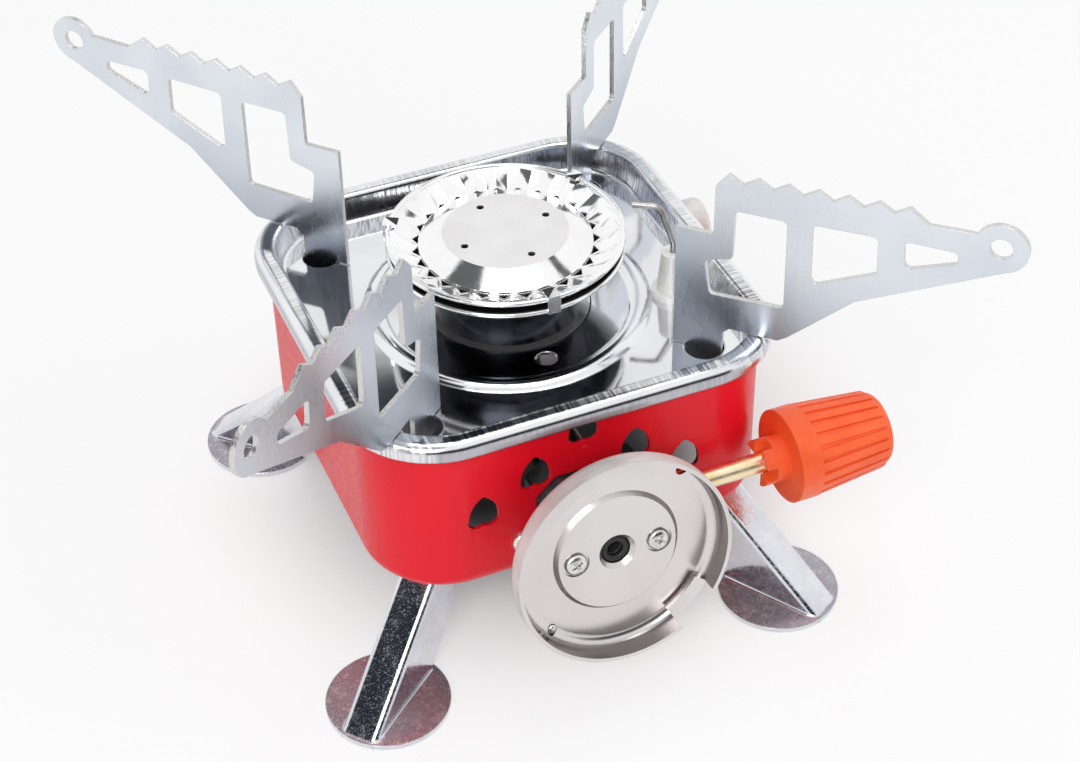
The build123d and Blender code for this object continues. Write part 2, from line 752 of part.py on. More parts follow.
# Screws that hold the valve flange to the front wall
with BuildPart() as valve_screws:
    with BuildSketch(front_plane):
        with Locations((-valve_screw_x, valve_screw_z), (valve_screw_x, valve_screw_z)):
            Circle(valve_screw_head_radius)
    extrude(amount=valve_screw_head)
    fillet(valve_screws.faces().sort_by(Axis.Y)[:2].edges(), radius=valve_screw_head / 2)
    with BuildSketch(front_plane):
        with Locations((-valve_screw_x, valve_screw_z), (valve_screw_x, valve_screw_z)):
            Circle(valve_screw_radius)
    extrude(amount=-(housing_wall + valve_flange))
save(valve_screws, "valve_screws")

# Gland nut round the spindle
with BuildPart() as gland_nut:
    with BuildSketch(spindle_plane.offset(valve_width / 2)):
        RegularPolygon(gland_flats / 2, 6, major_radius=False)
        Circle(spindle_radius + run_gap, mode=Mode.SUBTRACT)
    extrude(amount=gland_length)
save(gland_nut, "gland_nut")

# Spindle with its needle point
with BuildPart() as spindle:
    with BuildSketch(spindle_section):
        outline(
            (spindle_inner - needle_length + press_gap, 0),
            (spindle_inner, spindle_radius),
            (spindle_outer, spindle_radius),
            (spindle_outer, 0),
        )
    revolve(axis=spindle_axis)
save(spindle, "spindle")

# Knob: slotted hub, smooth collar and a ribbed, tapering grip
with BuildPart() as knob:
    with BuildSketch(spindle_section):
        outline(
            (knob_hub_start, 0),
            (knob_hub_start, knob_hub_radius),
            (knob_collar_start, knob_hub_radius),
            (knob_collar_start, knob_collar_radius),
            (knob_grip_start, knob_collar_radius),
            (knob_grip_start, knob_root_radius),
            (knob_end, knob_end_radius),
            (knob_end, 0),
        )
    revolve(axis=spindle_axis)
    fillet(knob.faces().sort_by(Axis.X)[-1].edges(), radius=knob_end_edge)
    rib_taper = (knob_root_radius - knob_end_radius) / (knob_end - knob_grip_start)
    rib_end = knob_end - knob_end_edge
    for step in range(knob_rib_count):
        rib_turn = radians(360 / knob_rib_count * step)
        rib_out = Vector(0, cos(rib_turn), sin(rib_turn))
        rib_plane = Plane(
            origin=(0, spindle_y, spindle_z), x_dir=(1, 0, 0), z_dir=Vector(1, 0, 0).cross(rib_out)
        )
        with BuildSketch(rib_plane):
            outline(
                (knob_grip_start, knob_root_radius - knob_rib_height),
                (rib_end, knob_end_radius - knob_rib_height),
                (rib_end, knob_end_radius + rib_taper * knob_end_edge),
                (rib_end - knob_rib_height, knob_end_radius + rib_taper * knob_end_edge + knob_rib_height),
                (knob_grip_start, knob_root_radius + knob_rib_height),
            )
        extrude(amount=knob_rib_width / 2, both=True)
    with BuildSketch(spindle_plane.offset(knob_hub_start)):
        Circle(spindle_radius + press_gap)
    extrude(amount=spindle_outer - knob_hub_start, mode=Mode.SUBTRACT)
    with BuildSketch(spindle_plane.offset(knob_hub_start)):
        Rectangle(knob_slot_width, 2 * knob_hub_radius)
        Rectangle(2 * knob_hub_radius, knob_slot_width)
    extrude(amount=knob_slot_depth, mode=Mode.SUBTRACT)
save(knob, "knob")

# Pot supports
rim_clear = tray_rim_top + swing_gap
tab_shoulder = tray_floor + swing_gap
ear_top = tray_under - swing_gap
tooth_step = tooth_pitch * tan(radians(tooth_rake))
tooth_top = tray_rim_top + tooth_rise
step_top = tooth_top - support_step_drop
last_tooth = tooth_first + (tooth_count - 1) * tooth_pitch
tip_reach = last_tooth + tip_run
tip_height = tooth_top - tip_drop


def support_outline():
    """Corner points of one plate, from the tab round over the teeth to the tip and back."""
    points = [
        (tab_half_width, ear_top), (ear_half_width, ear_top),
        (ear_half_width, ear_top - ear_height), (-ear_half_width, ear_top - ear_height),
        (-ear_half_width, ear_top), (-tab_half_width, ear_top),
        (-tab_half_width, tab_shoulder), (-support_heel, tab_shoulder),
        (-support_heel, step_top), (support_riser, step_top),
        (support_riser, tooth_top - crown_drop),
    ]
    for tooth in range(tooth_count):
        peak = tooth_top + tooth * tooth_step
        points.append((tooth_first + tooth * tooth_pitch, peak))
        if tooth < tooth_count - 1:
            points.append((tooth_first + (tooth + 0.5) * tooth_pitch, peak - tooth_height + tooth_step / 2))
    points += [
        (last_tooth + crown_end, tip_height + crown_end_rise),
        (tip_reach - tip_radius, tip_height + tip_shoulder),
        (tip_reach, tip_height), (tip_reach + tip_under_width, tip_height - tip_under_drop),
        (belly_length, tooth_top - belly_drop), (throat_length, tray_rim_top + throat_rise),
        (throat_foot, rim_clear), (tab_half_width + tab_root, rim_clear),
        (tab_half_width, rim_clear - tab_root),
    ]
    return points


for corner, turn in corner_turns.items():
    heading = (*polar(1, turn + support_turns[corner]), 0)
    pivot = (*polar(support_pivot * sqrt(2), turn), 0)
    plate_plane = Plane(origin=pivot, x_dir=heading, z_dir=(heading[1], -heading[0], 0))
    with BuildPart() as support:
        with BuildSketch(plate_plane):
            outline(*support_outline())
            with Locations((tip_reach, tip_height)):
                Circle(tip_radius)
                Circle(tip_hole_radius, mode=Mode.SUBTRACT)
        extrude(amount=support_sheet / 2, both=True)
        for window in support_windows:
            with BuildSketch(plate_plane) as window_sketch:
                outline(*[(reach, tooth_top - drop) for reach, drop in window])
                fillet(window_sketch.vertices(), radius=window_corner)
            extrude(amount=support_sheet, both=True, mode=Mode.SUBTRACT)
    save(support, f"pot_support_{corner}")

# Legs
web_slope = atan((leg_top - leg_tip_edge) / (leg_tip_reach - leg_knee))
web_drop = leg_sheet / cos(web_slope)
inner_knee = leg_knee - leg_sheet * tan(web_slope / 2)
inner_tip = leg_tip_reach - (web_drop - leg_tip_edge) / tan(web_slope)

for corner, turn in corner_turns.items():
    leg_turn = turn + leg_turns[corner]
    heading = (*polar(1, leg_turn), 0)
    pivot = (*polar(leg_pivot_reach, turn), 0)
    side_plane = Plane(origin=pivot, x_dir=heading, z_dir=(heading[1], -heading[0], 0))
    foot_plane = Plane(origin=pivot, x_dir=heading, z_dir=(0, 0, 1))
    with BuildPart() as leg:
        with BuildSketch(side_plane):
            outline(
                (leg_tip_reach, 0), (leg_wall_foot, 0), (-leg_heel, leg_wall_rise), (-leg_heel, leg_top),
                (leg_knee, leg_top), (leg_tip_reach, leg_tip_edge),
            )
        extrude(amount=leg_width / 2, both=True)
        long_edges = leg.edges().filter_by(Axis.Z, reverse=True).filter_by(
            Axis(pivot, side_plane.z_dir), reverse=True
        )
        fillet(long_edges.filter_by(lambda edge: edge.center().Z > leg_top / 2), radius=leg_bend)
        with BuildSketch(foot_plane):
            with Locations((foot_reach, 0)):
                Circle(foot_radius)
        extrude(amount=leg_sheet)
        fold_edges = leg.edges().filter_by(Axis(pivot, heading)).filter_by(
            lambda edge: abs(edge.center().Z - leg_sheet) < leg_sheet / 2
        )
        fillet(fold_edges, radius=leg_fold)
        with BuildSketch(side_plane):
            outline(
                (inner_tip, 0), (inner_tip, -leg_sheet), (-foot_radius, -leg_sheet),
                (-foot_radius, leg_top - leg_sheet), (inner_knee, leg_top - leg_sheet),
            )
        extrude(amount=leg_width / 2 - leg_sheet, both=True, mode=Mode.SUBTRACT)
        with BuildSketch(foot_plane.offset(leg_top)):
            Circle(rivet_radius + run_gap)
        extrude(amount=-leg_sheet, mode=Mode.SUBTRACT)
    save(leg, f"leg_{corner}")

# Leg rivets: a head under each leg and a head on the gusset inside the housing
rivet_low = leg_top - leg_sheet - swing_gap
with BuildPart() as leg_rivets:
    with BuildSketch(Plane.XY.offset(rivet_low - rivet_head_height)):
        with PolarLocations(leg_pivot_reach, 4, start_angle=45):
            Circle(rivet_head_radius)
    extrude(amount=rivet_head_height)
    with BuildSketch(Plane.XY.offset(rivet_low)):
        with PolarLocations(leg_pivot_reach, 4, start_angle=45):
            Circle(rivet_radius)
    extrude(amount=housing_bottom + housing_wall - rivet_low)
    with BuildSketch(Plane.XY.offset(housing_bottom + housing_wall)):
        with PolarLocations(leg_pivot_reach, 4, start_angle=45):
            Circle(rivet_head_radius)
    extrude(amount=rivet_head_height)
save(leg_rivets, "leg_rivets")

# Igniter: flanged barrel through the right wall
igniter_out = housing_half + igniter_flange
igniter_in = housing_half - igniter_length
with BuildPart() as igniter_body:
    with BuildSketch(igniter_section):
        outline(
            (igniter_in, 0),
            (igniter_in, igniter_radius),
            (housing_half, igniter_radius),
            (housing_half, igniter_flange_radius),
            (igniter_out, igniter_flange_radius),
            (igniter_out, igniter_bore_radius),
            (igniter_out - igniter_bore_depth, igniter_bore_radius),
            (igniter_out - igniter_bore_depth, 0),
        )
    revolve(axis=igniter_axis)
save(igniter_body, "igniter_body")

# Panel nut behind the wall
with BuildPart() as igniter_nut_part:
    with BuildSketch(igniter_plane.offset(housing_inner - igniter_nut)):
        RegularPolygon(igniter_nut_flats / 2, 6, major_radius=False, rotation=30)
        Circle(igniter_radius + press_gap, mode=Mode.SUBTRACT)
    extrude(amount=igniter_nut)
save(igniter_nut_part, "igniter_nut")

# Button with its stem in the barrel
button_in = igniter_out + button_travel + swing_gap
with BuildPart() as igniter_button:
    with BuildSketch(igniter_section):
        outline(
            (button_in - button_stem, 0),
            (button_in - button_stem, igniter_bore_radius - run_gap),
            (button_in, igniter_bore_radius - run_gap),
            (button_in, button_radius),
            (button_in + button_length, button_radius),
            (button_in + button_length, 0),
        )
    revolve(axis=igniter_axis)
    fillet(igniter_button.faces().sort_by(Axis.X)[-1].edges(), radius=button_edge)
save(igniter_button, "igniter_button")

# Ceramic insulator through the tray floor
insulator_low = tray_floor - insulator_drop
insulator_top = tray_floor + insulator_rise
electrode_section = Plane(origin=(electrode_x, electrode_y, 0), x_dir=(1, 0, 0), z_dir=(0, -1, 0))
wire_low = insulator_top - electrode_seat
with BuildPart() as insulator:
    with BuildSketch(electrode_section):
        outline(
            (0, insulator_low),
            (insulator_stem_radius, insulator_low),
            (insulator_stem_radius, tray_floor),
            (insulator_collar_radius, tray_floor),
            (insulator_collar_radius, tray_floor + insulator_collar),
            (insulator_radius, tray_floor + insulator_collar),
            (insulator_top_radius, insulator_top),
            (electrode_radius + press_gap, insulator_top),
            (electrode_radius + press_gap, wire_low),
            (0, wire_low),
        )
    revolve(axis=Axis((electrode_x, electrode_y, 0), (0, 0, 1)))
save(insulator, "electrode_insulator")

# Electrode wire, bent over to the burner rim
with BuildPart() as electrode:
    with BuildLine():
        FilletPolyline(
            (electrode_x, electrode_y, wire_low),
            (electrode_x, electrode_y, insulator_top + electrode_bend),
            (electrode_x - electrode_knee_in, electrode_y + electrode_knee_back, electrode_tip_z),
            (*polar(burner_rim_radius + spark_gap, spark_turn), electrode_tip_z),
            radius=electrode_bend,
        )
    with BuildSketch(Plane.XY.offset(wire_low).shift_origin((electrode_x, electrode_y, wire_low))):
        Circle(electrode_radius)
    sweep()
save(electrode, "electrode_wire")

# Ignition lead from the igniter to the foot of the insulator
lead_turn_x = tube_radius + lead_tube_gap + lead_radius
lead_route = [
    (igniter_in, igniter_y, igniter_z),
    (lead_turn_x, igniter_y, igniter_z),
    (lead_turn_x, 0, tray_floor - lead_sag),
    (electrode_x, electrode_y, tray_floor - lead_drop),
    (electrode_x, electrode_y, insulator_low),
]
with BuildPart() as ignition_lead:
    with BuildLine():
        FilletPolyline(*lead_route, radius=lead_bend)
    with BuildSketch(Plane(origin=lead_route[0], x_dir=(0, 1, 0), z_dir=(-1, 0, 0))):
        Circle(lead_radius)
    sweep()
save(ignition_lead, "ignition_lead")
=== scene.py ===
"""Looks of the folding camping gas stove: finishes, small hardware, floor, light and camera.

Metres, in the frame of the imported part: the origin lies on the ground under the burner axis, +Z is up,
and the cartridge cup faces -Y.
"""

import math

import bmesh
import bpy
from mathutils import Matrix, Vector


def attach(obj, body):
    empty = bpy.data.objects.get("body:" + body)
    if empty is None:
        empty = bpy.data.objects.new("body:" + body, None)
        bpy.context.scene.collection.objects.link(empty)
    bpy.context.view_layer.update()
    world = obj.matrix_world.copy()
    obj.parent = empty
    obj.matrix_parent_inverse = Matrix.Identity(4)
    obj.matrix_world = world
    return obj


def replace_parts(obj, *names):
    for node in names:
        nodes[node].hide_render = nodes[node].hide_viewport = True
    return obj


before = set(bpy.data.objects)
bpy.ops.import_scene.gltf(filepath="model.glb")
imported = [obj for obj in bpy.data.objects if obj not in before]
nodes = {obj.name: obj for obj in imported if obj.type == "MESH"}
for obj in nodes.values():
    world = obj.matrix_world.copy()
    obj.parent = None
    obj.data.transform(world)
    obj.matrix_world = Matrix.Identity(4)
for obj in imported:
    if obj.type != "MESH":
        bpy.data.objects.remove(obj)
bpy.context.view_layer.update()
MM = 0.001

# Places on the part, in millimetres and degrees
SUPPORT_TURNS = {"front_left": 221, "front_right": 314, "back_right": 41.5, "back_left": 131.5}
CUP_TILT = math.radians(9.3)
CUP_OUT = Vector((0, -math.cos(CUP_TILT), math.sin(CUP_TILT)))
CUP_UP = Vector((0, math.sin(CUP_TILT), math.cos(CUP_TILT)))
CUP_LIP = Vector((0, -57.7, 34.3))
CUP_DEPTH = 6.0
CUP_BACK = CUP_LIP * MM - CUP_OUT * CUP_DEPTH * MM
CUP_WALL_REACH = 20.0
TRAY_RIM_LOW = 60.6
TRAY_RIM_HIGH = 61.2
TRAY_RIM_MIDDLE = 42.3
TRAY_SKIRT = 43.2
TRAY_DISH = 56.0
SHELL_LEDGE = 28
BURNER_RIM_RADIUS = 23.2
FRONT_WALL = 41.5
VALVE_SCREW_REACH = 14.4
VALVE_SCREW_LEVEL = 32.0
SHARP_EDGE = math.radians(35)
WELD = 0.000001


# Node graphs

class Finish:
    """A material with one principled shader and short calls for the nodes that feed it."""

    def __init__(self, name, **sockets):
        self.material = bpy.data.materials.new(name)
        self.material.use_nodes = True
        self.tree = self.material.node_tree
        self.shader = self.tree.nodes["Principled BSDF"]
        self.place = self.tree.nodes.new("ShaderNodeTexCoord").outputs["Object"]
        self.set(**sockets)

    def set(self, **sockets):
        for key, value in sockets.items():
            socket = self.shader.inputs[key.replace("_", " ")]
            if isinstance(value, bpy.types.NodeSocket):
                self.tree.links.new(value, socket)
            else:
                socket.default_value = (*value, 1.0) if isinstance(value, tuple) else value

    def node(self, kind, inputs, **settings):
        made = self.tree.nodes.new(kind)
        for key, value in settings.items():
            setattr(made, key, value)
        for key, value in inputs.items():
            if isinstance(value, bpy.types.NodeSocket):
                self.tree.links.new(value, made.inputs[key])
            else:
                made.inputs[key].default_value = value
        return made

    def stretched(self, stretch, turn=(0, 0, 0)):
        """Object coordinates, turned and then scaled along each axis."""
        turned = self.node("ShaderNodeMapping", {"Vector": self.place, "Rotation": turn}).outputs[0]
        return self.node("ShaderNodeMapping", {"Vector": turned, "Scale": stretch}).outputs[0]

    def noise(self, scale, stretch=(1, 1, 1), turn=(0, 0, 0), detail=4.0, roughness=0.55):
        """Noise with features of about 1 / scale metres."""
        place = self.stretched(tuple(scale * s for s in stretch), turn)
        inputs = {"Vector": place, "Scale": 1.0, "Detail": detail, "Roughness": roughness}
        return self.node("ShaderNodeTexNoise", inputs).outputs["Fac"]

    def remap(self, value, low, high, start, end):
        inputs = {0: value, 1: low, 2: high, 3: start, 4: end}
        return self.node("ShaderNodeMapRange", inputs, interpolation_type="SMOOTHSTEP").outputs[0]

    def math(self, operation, first, second=0.0):
        return self.node("ShaderNodeMath", {0: first, 1: second}, operation=operation).outputs[0]

    def times(self, first, second):
        return self.math("MULTIPLY", first, second)

    def plus(self, first, second):
        return self.math("ADD", first, second)

    def mix(self, factor, first, second):
        """Two colours by a factor."""
        made = self.tree.nodes.new("ShaderNodeMix")
        made.data_type = "RGBA"
        for index, value in ((0, factor), (6, first), (7, second)):
            if isinstance(value, bpy.types.NodeSocket):
                self.tree.links.new(value, made.inputs[index])
            else:
                made.inputs[index].default_value = (*value, 1.0) if isinstance(value, tuple) else value
        return made.outputs[2]

    def mottle(self, cloud, dark, light, low=0.3, high=0.7):
        """A colour that goes from dark to light as a cloud goes from low to high."""
        return self.mix(self.remap(cloud, low, high, 0, 1), dark, light)

    def bump(self, height, depth, strength=1.0, under=None):
        """A normal from a height, where depth is the height of one unit in metres."""
        inputs = {"Height": height, "Distance": depth, "Strength": strength}
        if under is not None:
            inputs["Normal"] = under
        return self.node("ShaderNodeBump", inputs).outputs["Normal"]

    def facing(self, axis):
        """How far the surface faces along an axis, either way, from 0 to 1."""
        normal = self.node("ShaderNodeNewGeometry", {}).outputs["Normal"]
        dot = self.node("ShaderNodeVectorMath", {0: normal, 1: axis}, operation="DOT_PRODUCT")
        return self.math("ABSOLUTE", dot.outputs["Value"])

    def rounded(self, radius):
        """The normal with sharp edges softened over a radius."""
        return self.node("ShaderNodeBevel", {"Radius": radius}, samples=4).outputs["Normal"]

    def height(self):
        """The level above the ground, in millimetres."""
        parts = self.node("ShaderNodeSeparateXYZ", {"Vector": self.place})
        return self.times(parts.outputs["Z"], 1000.0)

    def outward(self):
        """How far the place lies from the axis, square to the nearest side, in millimetres."""
        parts = self.node("ShaderNodeSeparateXYZ", {"Vector": self.place})
        across, along = (self.math("ABSOLUTE", parts.outputs[axis]) for axis in ("X", "Y"))
        return self.times(self.math("MAXIMUM", across, along), 1000.0)

    def rim_marks(self):
        """Draw marks across the inner half of the tray's rim, 1 on a mark and 0 elsewhere."""
        parts = self.node("ShaderNodeSeparateXYZ", {"Vector": self.place})
        across, along = (self.math("ABSOLUTE", parts.outputs[axis]) for axis in ("X", "Y"))
        beside = self.math("GREATER_THAN", across, along)
        ways = ((1, 0.03, 0.03), (0.03, 1, 0.03))
        front, side = (self.noise(1500, stretch=way, detail=4) for way in ways)
        marks = self.plus(self.times(side, beside), self.times(front, self.math("SUBTRACT", 1.0, beside)))
        upper = self.remap(self.height(), TRAY_RIM_LOW, TRAY_RIM_HIGH, 0, 1)
        band = self.times(upper, self.remap(self.outward(), TRAY_RIM_MIDDLE, TRAY_RIM_MIDDLE + 0.4, 1, 0))
        band = self.times(band, self.remap(parts.outputs["Y"], -0.034, -0.010, 1, 0.3))
        patchy = self.remap(self.noise(90, detail=2), 0.36, 0.60, 0.35, 1)
        return self.times(self.times(band, patchy), self.remap(marks, 0.40, 0.56, 0, 0.95))

    def scratches(self, scale, turn, width=0.03):
        """Short thin lines that lean one way, 1 on a line and 0 elsewhere."""
        place = self.stretched((scale, scale, scale), turn)
        shake = self.node("ShaderNodeTexNoise", {"Vector": place, "Scale": 0.6, "Detail": 2.0})
        bent = self.node("ShaderNodeVectorMath", {0: place, 1: shake.outputs["Color"]}, operation="ADD")
        long = self.node("ShaderNodeMapping", {"Vector": bent.outputs[0], "Scale": (1.0, 0.08, 1.0)})
        inputs = {"Vector": long.outputs[0], "Scale": 1.0}
        edge = self.node("ShaderNodeTexVoronoi", inputs, feature="DISTANCE_TO_EDGE")
        return self.remap(edge.outputs["Distance"], 0.0, width, 1.0, 0.0)


def dress(name, finish, choices=()):
    """Give a CAD node its finish, and other finishes to the faces that a choice picks."""
    mesh = nodes[name].data
    mesh.materials.clear()
    for item in (finish, *(other for _, other in choices)):
        mesh.materials.append(item.material)
    for face in mesh.polygons:
        face.material_index = 0
        for index, (picked, _) in enumerate(choices, start=1):
            if picked(face.center / MM, face.normal):
                face.material_index = index


# Finishes

def red_paint():
    made = Finish("red_paint", Specular_IOR_Level=0.2, Coat_Weight=0.1, Coat_Roughness=0.05, Coat_IOR=1.5)
    cloud = made.noise(45, detail=2)
    made.set(Base_Color=made.mottle(cloud, (0.74, 0.005, 0.016), (0.82, 0.007, 0.021), 0.35, 0.65))
    made.set(Roughness=made.remap(made.noise(700, detail=2), 0.3, 0.7, 0.30, 0.40))
    made.set(Normal=made.bump(made.noise(260, detail=1), 0.00003, 0.3, made.rounded(0.0003)))
    return made


def inner_primer():
    """Inside of the shell: painted near black as shade, so the vents read dark, with a faint reddish mottle.
    """
    made = Finish("inner_primer", Specular_IOR_Level=0.25)
    cloud = made.noise(70, detail=5)
    made.set(Base_Color=made.mottle(cloud, (0.009, 0.007, 0.007), (0.030, 0.006, 0.007), 0.35, 0.7))
    made.set(Roughness=made.remap(cloud, 0.3, 0.7, 0.5, 0.75))
    made.set(Normal=made.bump(made.noise(900), 0.00004, 0.4))
    return made


def bare_edge():
    """Sheared steel, where the paint or plating stops at a cut."""
    made = Finish("bare_edge", Metallic=1.0)
    grain = made.noise(2600, stretch=(1, 1, 0.2))
    made.set(Base_Color=made.mix(grain, (0.52, 0.51, 0.51), (0.88, 0.87, 0.86)))
    made.set(Roughness=made.remap(grain, 0.3, 0.7, 0.25, 0.45))
    made.set(Normal=made.bump(grain, 0.00004, 0.5, made.rounded(0.00015)))
    return made


def tray_plating():
    """Bright plate: clear on the floor, with fine draw marks down the walls and the skirt; the marks are
    painted dark, part real draw marks and part painted reflection, and the skirt is greyed as a painted
    reflection.
    """
    made = Finish("tray_plating", Metallic=1.0)
    wall = made.remap(made.facing((0, 0, 1)), 0.25, 0.70, 1, 0)
    streak = made.noise(1700, stretch=(1, 1, 0.02), detail=5, roughness=0.6)
    broad = made.noise(150, stretch=(1, 1, 0.06), detail=3)
    cloud = made.noise(60, detail=4)
    # Draw marks, painted near black so that they also stand in for a dark reflection.
    worn = made.times(wall, made.remap(streak, 0.42, 0.62, 0, 0.8))
    worn = made.times(worn, made.remap(broad, 0.35, 0.62, 0.15, 1))
    worn = made.times(worn, made.remap(made.outward(), TRAY_RIM_MIDDLE, TRAY_SKIRT, 1, 0.35))
    worn = made.math("MAXIMUM", worn, made.rim_marks())
    tone = made.mottle(cloud, (0.77, 0.775, 0.80), (0.86, 0.865, 0.885))
    # Painted reflection: the outer skirt is greyed, standing in for the dark front it reflects.
    skirt = made.times(wall, made.remap(made.outward(), TRAY_RIM_MIDDLE, TRAY_SKIRT, 0, 1))
    tone = made.mix(skirt, tone, (0.50, 0.50, 0.54))
    made.set(Base_Color=made.mix(worn, tone, (0.20, 0.20, 0.235)))
    rough = made.times(wall, made.remap(streak, 0.4, 0.7, 0.05, 0.16))
    made.set(Roughness=made.plus(made.remap(cloud, 0.3, 0.7, 0.055, 0.10), rough))
    wave = made.bump(made.noise(55, detail=1), 0.0003, 0.2, made.rounded(0.0005))
    drawn = made.bump(made.times(streak, wall), 0.00006, 0.6, wave)
    made.set(Normal=made.bump(made.noise(2400, detail=2), 0.00001, 0.15, drawn))
    return made


def burner_polish():
    made = Finish("burner_polish", Metallic=0.9, Specular_IOR_Level=0.8)
    cloud = made.noise(120)
    made.set(Base_Color=made.mottle(cloud, (0.90, 0.90, 0.905), (0.96, 0.96, 0.96)))
    made.set(Roughness=made.remap(made.noise(600), 0.3, 0.7, 0.04, 0.10))
    wave = made.bump(made.noise(150, detail=1), 0.0002, 0.4, made.rounded(0.00012))
    made.set(Normal=made.bump(made.noise(2000, detail=2), 0.00001, 0.3, wave))
    return made


def burner_under():
    """Underside of the pan and the skirt: steel painted near black, as painted shade and a painted dark
    reflection under the pan.
    """
    made = Finish("burner_under", Metallic=1.0)
    heat = made.noise(90, detail=5)
    made.set(Base_Color=made.mottle(heat, (0.012, 0.0125, 0.016), (0.040, 0.041, 0.049)))
    made.set(Roughness=made.remap(heat, 0.3, 0.7, 0.10, 0.22))
    made.set(Normal=made.bump(made.noise(1500, detail=3), 0.00001, 0.3, made.rounded(0.0002)))
    return made


def burner_soot():
    """Inside of the burner, behind the rims: painted near black as shade."""
    made = Finish("burner_soot", Metallic=0.3)
    cloud = made.noise(300, detail=5)
    made.set(Base_Color=made.mottle(cloud, (0.012, 0.012, 0.013), (0.035, 0.033, 0.032)))
    made.set(Roughness=made.remap(cloud, 0.3, 0.7, 0.55, 0.8))
    made.set(Normal=made.bump(made.noise(1400), 0.00003, 0.4))
    return made


def burner_satin():
    """The flat top of the cap, pickled and not polished."""
    made = Finish("burner_satin", Metallic=0.45, Specular_IOR_Level=0.4)
    cloud = made.noise(110, detail=3)
    made.set(Base_Color=made.mottle(cloud, (0.79, 0.775, 0.785), (0.85, 0.84, 0.845)))
    made.set(Roughness=made.remap(made.noise(1800), 0.3, 0.7, 0.44, 0.54))
    made.set(Normal=made.bump(made.noise(1400, detail=3), 0.00002, 0.3))
    return made


def wire_steel():
    """The electrode: heat-proof wire, dull from use."""
    made = Finish("wire_steel", Metallic=1.0)
    cloud = made.noise(400, detail=4)
    made.set(Base_Color=made.mottle(cloud, (0.30, 0.29, 0.29), (0.46, 0.45, 0.44)))
    made.set(Roughness=made.remap(cloud, 0.3, 0.7, 0.28, 0.42))
    made.set(Normal=made.bump(made.noise(1800, stretch=(1, 1, 0.2)), 0.00002, 0.4))
    return made


def support_zinc():
    made = Finish("support_zinc", Metallic=1.0)
    cloud = made.noise(42, detail=3)
    rolled = made.noise(700, stretch=(1, 1, 0.05), detail=2)
    tone = made.mottle(cloud, (0.70, 0.745, 0.80), (0.80, 0.84, 0.89))
    # Painted shade: the plate is painted darker towards its lower end.
    low = made.remap(made.height(), 58.0, 86.0, 0.75, 0.0)
    made.set(Base_Color=made.mix(low, tone, (0.34, 0.385, 0.46)))
    rough = made.remap(cloud, 0.3, 0.7, 0.24, 0.30)
    made.set(Roughness=made.plus(rough, made.remap(rolled, 0.35, 0.7, 0, 0.03)))
    dull = made.bump(rolled, 0.000008, 0.2, made.rounded(0.00015))
    made.set(Normal=made.bump(made.noise(1600, detail=3), 0.000006, 0.25, dull))
    return made


def leg_steel():
    """Bright rolled sheet with fine pits, scuffs and a few longer scratches."""
    made = Finish("leg_steel", Metallic=1.0)
    long = made.scratches(2600, (0, 0, 0.75), 0.05)
    cross = made.scratches(3400, (0.5, 0.4, -0.9), 0.05)
    marks = made.times(made.math("MAXIMUM", long, cross), made.remap(made.noise(600), 0.50, 0.62, 0, 0.7))
    fleck = made.remap(made.noise(2600, detail=4, roughness=0.7), 0.50, 0.68, 0, 1)
    cloud = made.noise(130)
    tone = made.mottle(cloud, (0.66, 0.655, 0.69), (0.80, 0.79, 0.81))
    # Painted reflection: faces that look up, the web and the feet, are painted darker.
    flat = made.remap(made.facing((0, 0, 1)), 0.75, 0.95, 0, 1)
    tone = made.mix(flat, tone, (0.44, 0.42, 0.47))
    tone = made.mix(made.times(fleck, made.math("SUBTRACT", 1.0, flat)), tone, (0.60, 0.70, 0.88))
    made.set(Base_Color=made.mix(marks, tone, (0.92, 0.92, 0.94)))
    made.set(Metallic=made.remap(flat, 0, 1, 1.0, 0.72))
    blemish = made.times(made.math("MAXIMUM", marks, fleck), 0.24)
    rough = made.plus(made.remap(cloud, 0.3, 0.7, 0.06, 0.12), blemish)
    made.set(Roughness=made.plus(rough, made.times(flat, 0.16)))
    wave = made.bump(made.noise(90, detail=1), 0.00005, 0.25, made.rounded(0.00025))
    speck = made.bump(fleck, 0.00001, 0.4, wave)
    made.set(Normal=made.bump(marks, 0.000008, 0.4, speck))
    return made


def cup_steel():
    """Tumbled stainless: smooth satin with soft stains and a few scuffs."""
    made = Finish("cup_steel", Metallic=1.0)
    cloud = made.noise(38, detail=4)
    tone = made.mottle(cloud, (0.68, 0.645, 0.64), (0.77, 0.735, 0.73))
    # Painted shade: faces across the cup's axis, its walls and lip in the hollow, are painted dark.
    wall = made.remap(made.facing(CUP_OUT), 0.15, 0.92, 0.9, 0)
    tone = made.mix(wall, tone, (0.20, 0.185, 0.18))
    patches = made.remap(made.noise(120), 0.5, 0.65, 0, 0.15)
    scuff = made.times(made.scratches(220, (0, 0.6, 0), 0.02), patches)
    made.set(Base_Color=made.mix(scuff, tone, (0.48, 0.45, 0.44)))
    made.set(Roughness=made.remap(cloud, 0.3, 0.7, 0.20, 0.27))
    made.set(Normal=made.bump(made.noise(70, detail=1), 0.00006, 0.25))
    return made


def cup_wall():
    """The outside of the cup's wall, rubbed dull by cartridges and hands."""
    made = Finish("cup_wall", Metallic=0.35, Specular_IOR_Level=0.3)
    cloud = made.noise(55, detail=4)
    rubbed = made.noise(420, stretch=(0.2, 1, 0.2), detail=3)
    tone = made.mottle(cloud, (0.62, 0.60, 0.585), (0.80, 0.78, 0.765), 0.35, 0.65)
    made.set(Base_Color=made.mix(made.remap(rubbed, 0.5, 0.7, 0, 0.45), tone, (0.42, 0.385, 0.37)))
    made.set(Roughness=made.remap(cloud, 0.3, 0.7, 0.42, 0.55))
    made.set(Normal=made.bump(rubbed, 0.00002, 0.3))
    return made


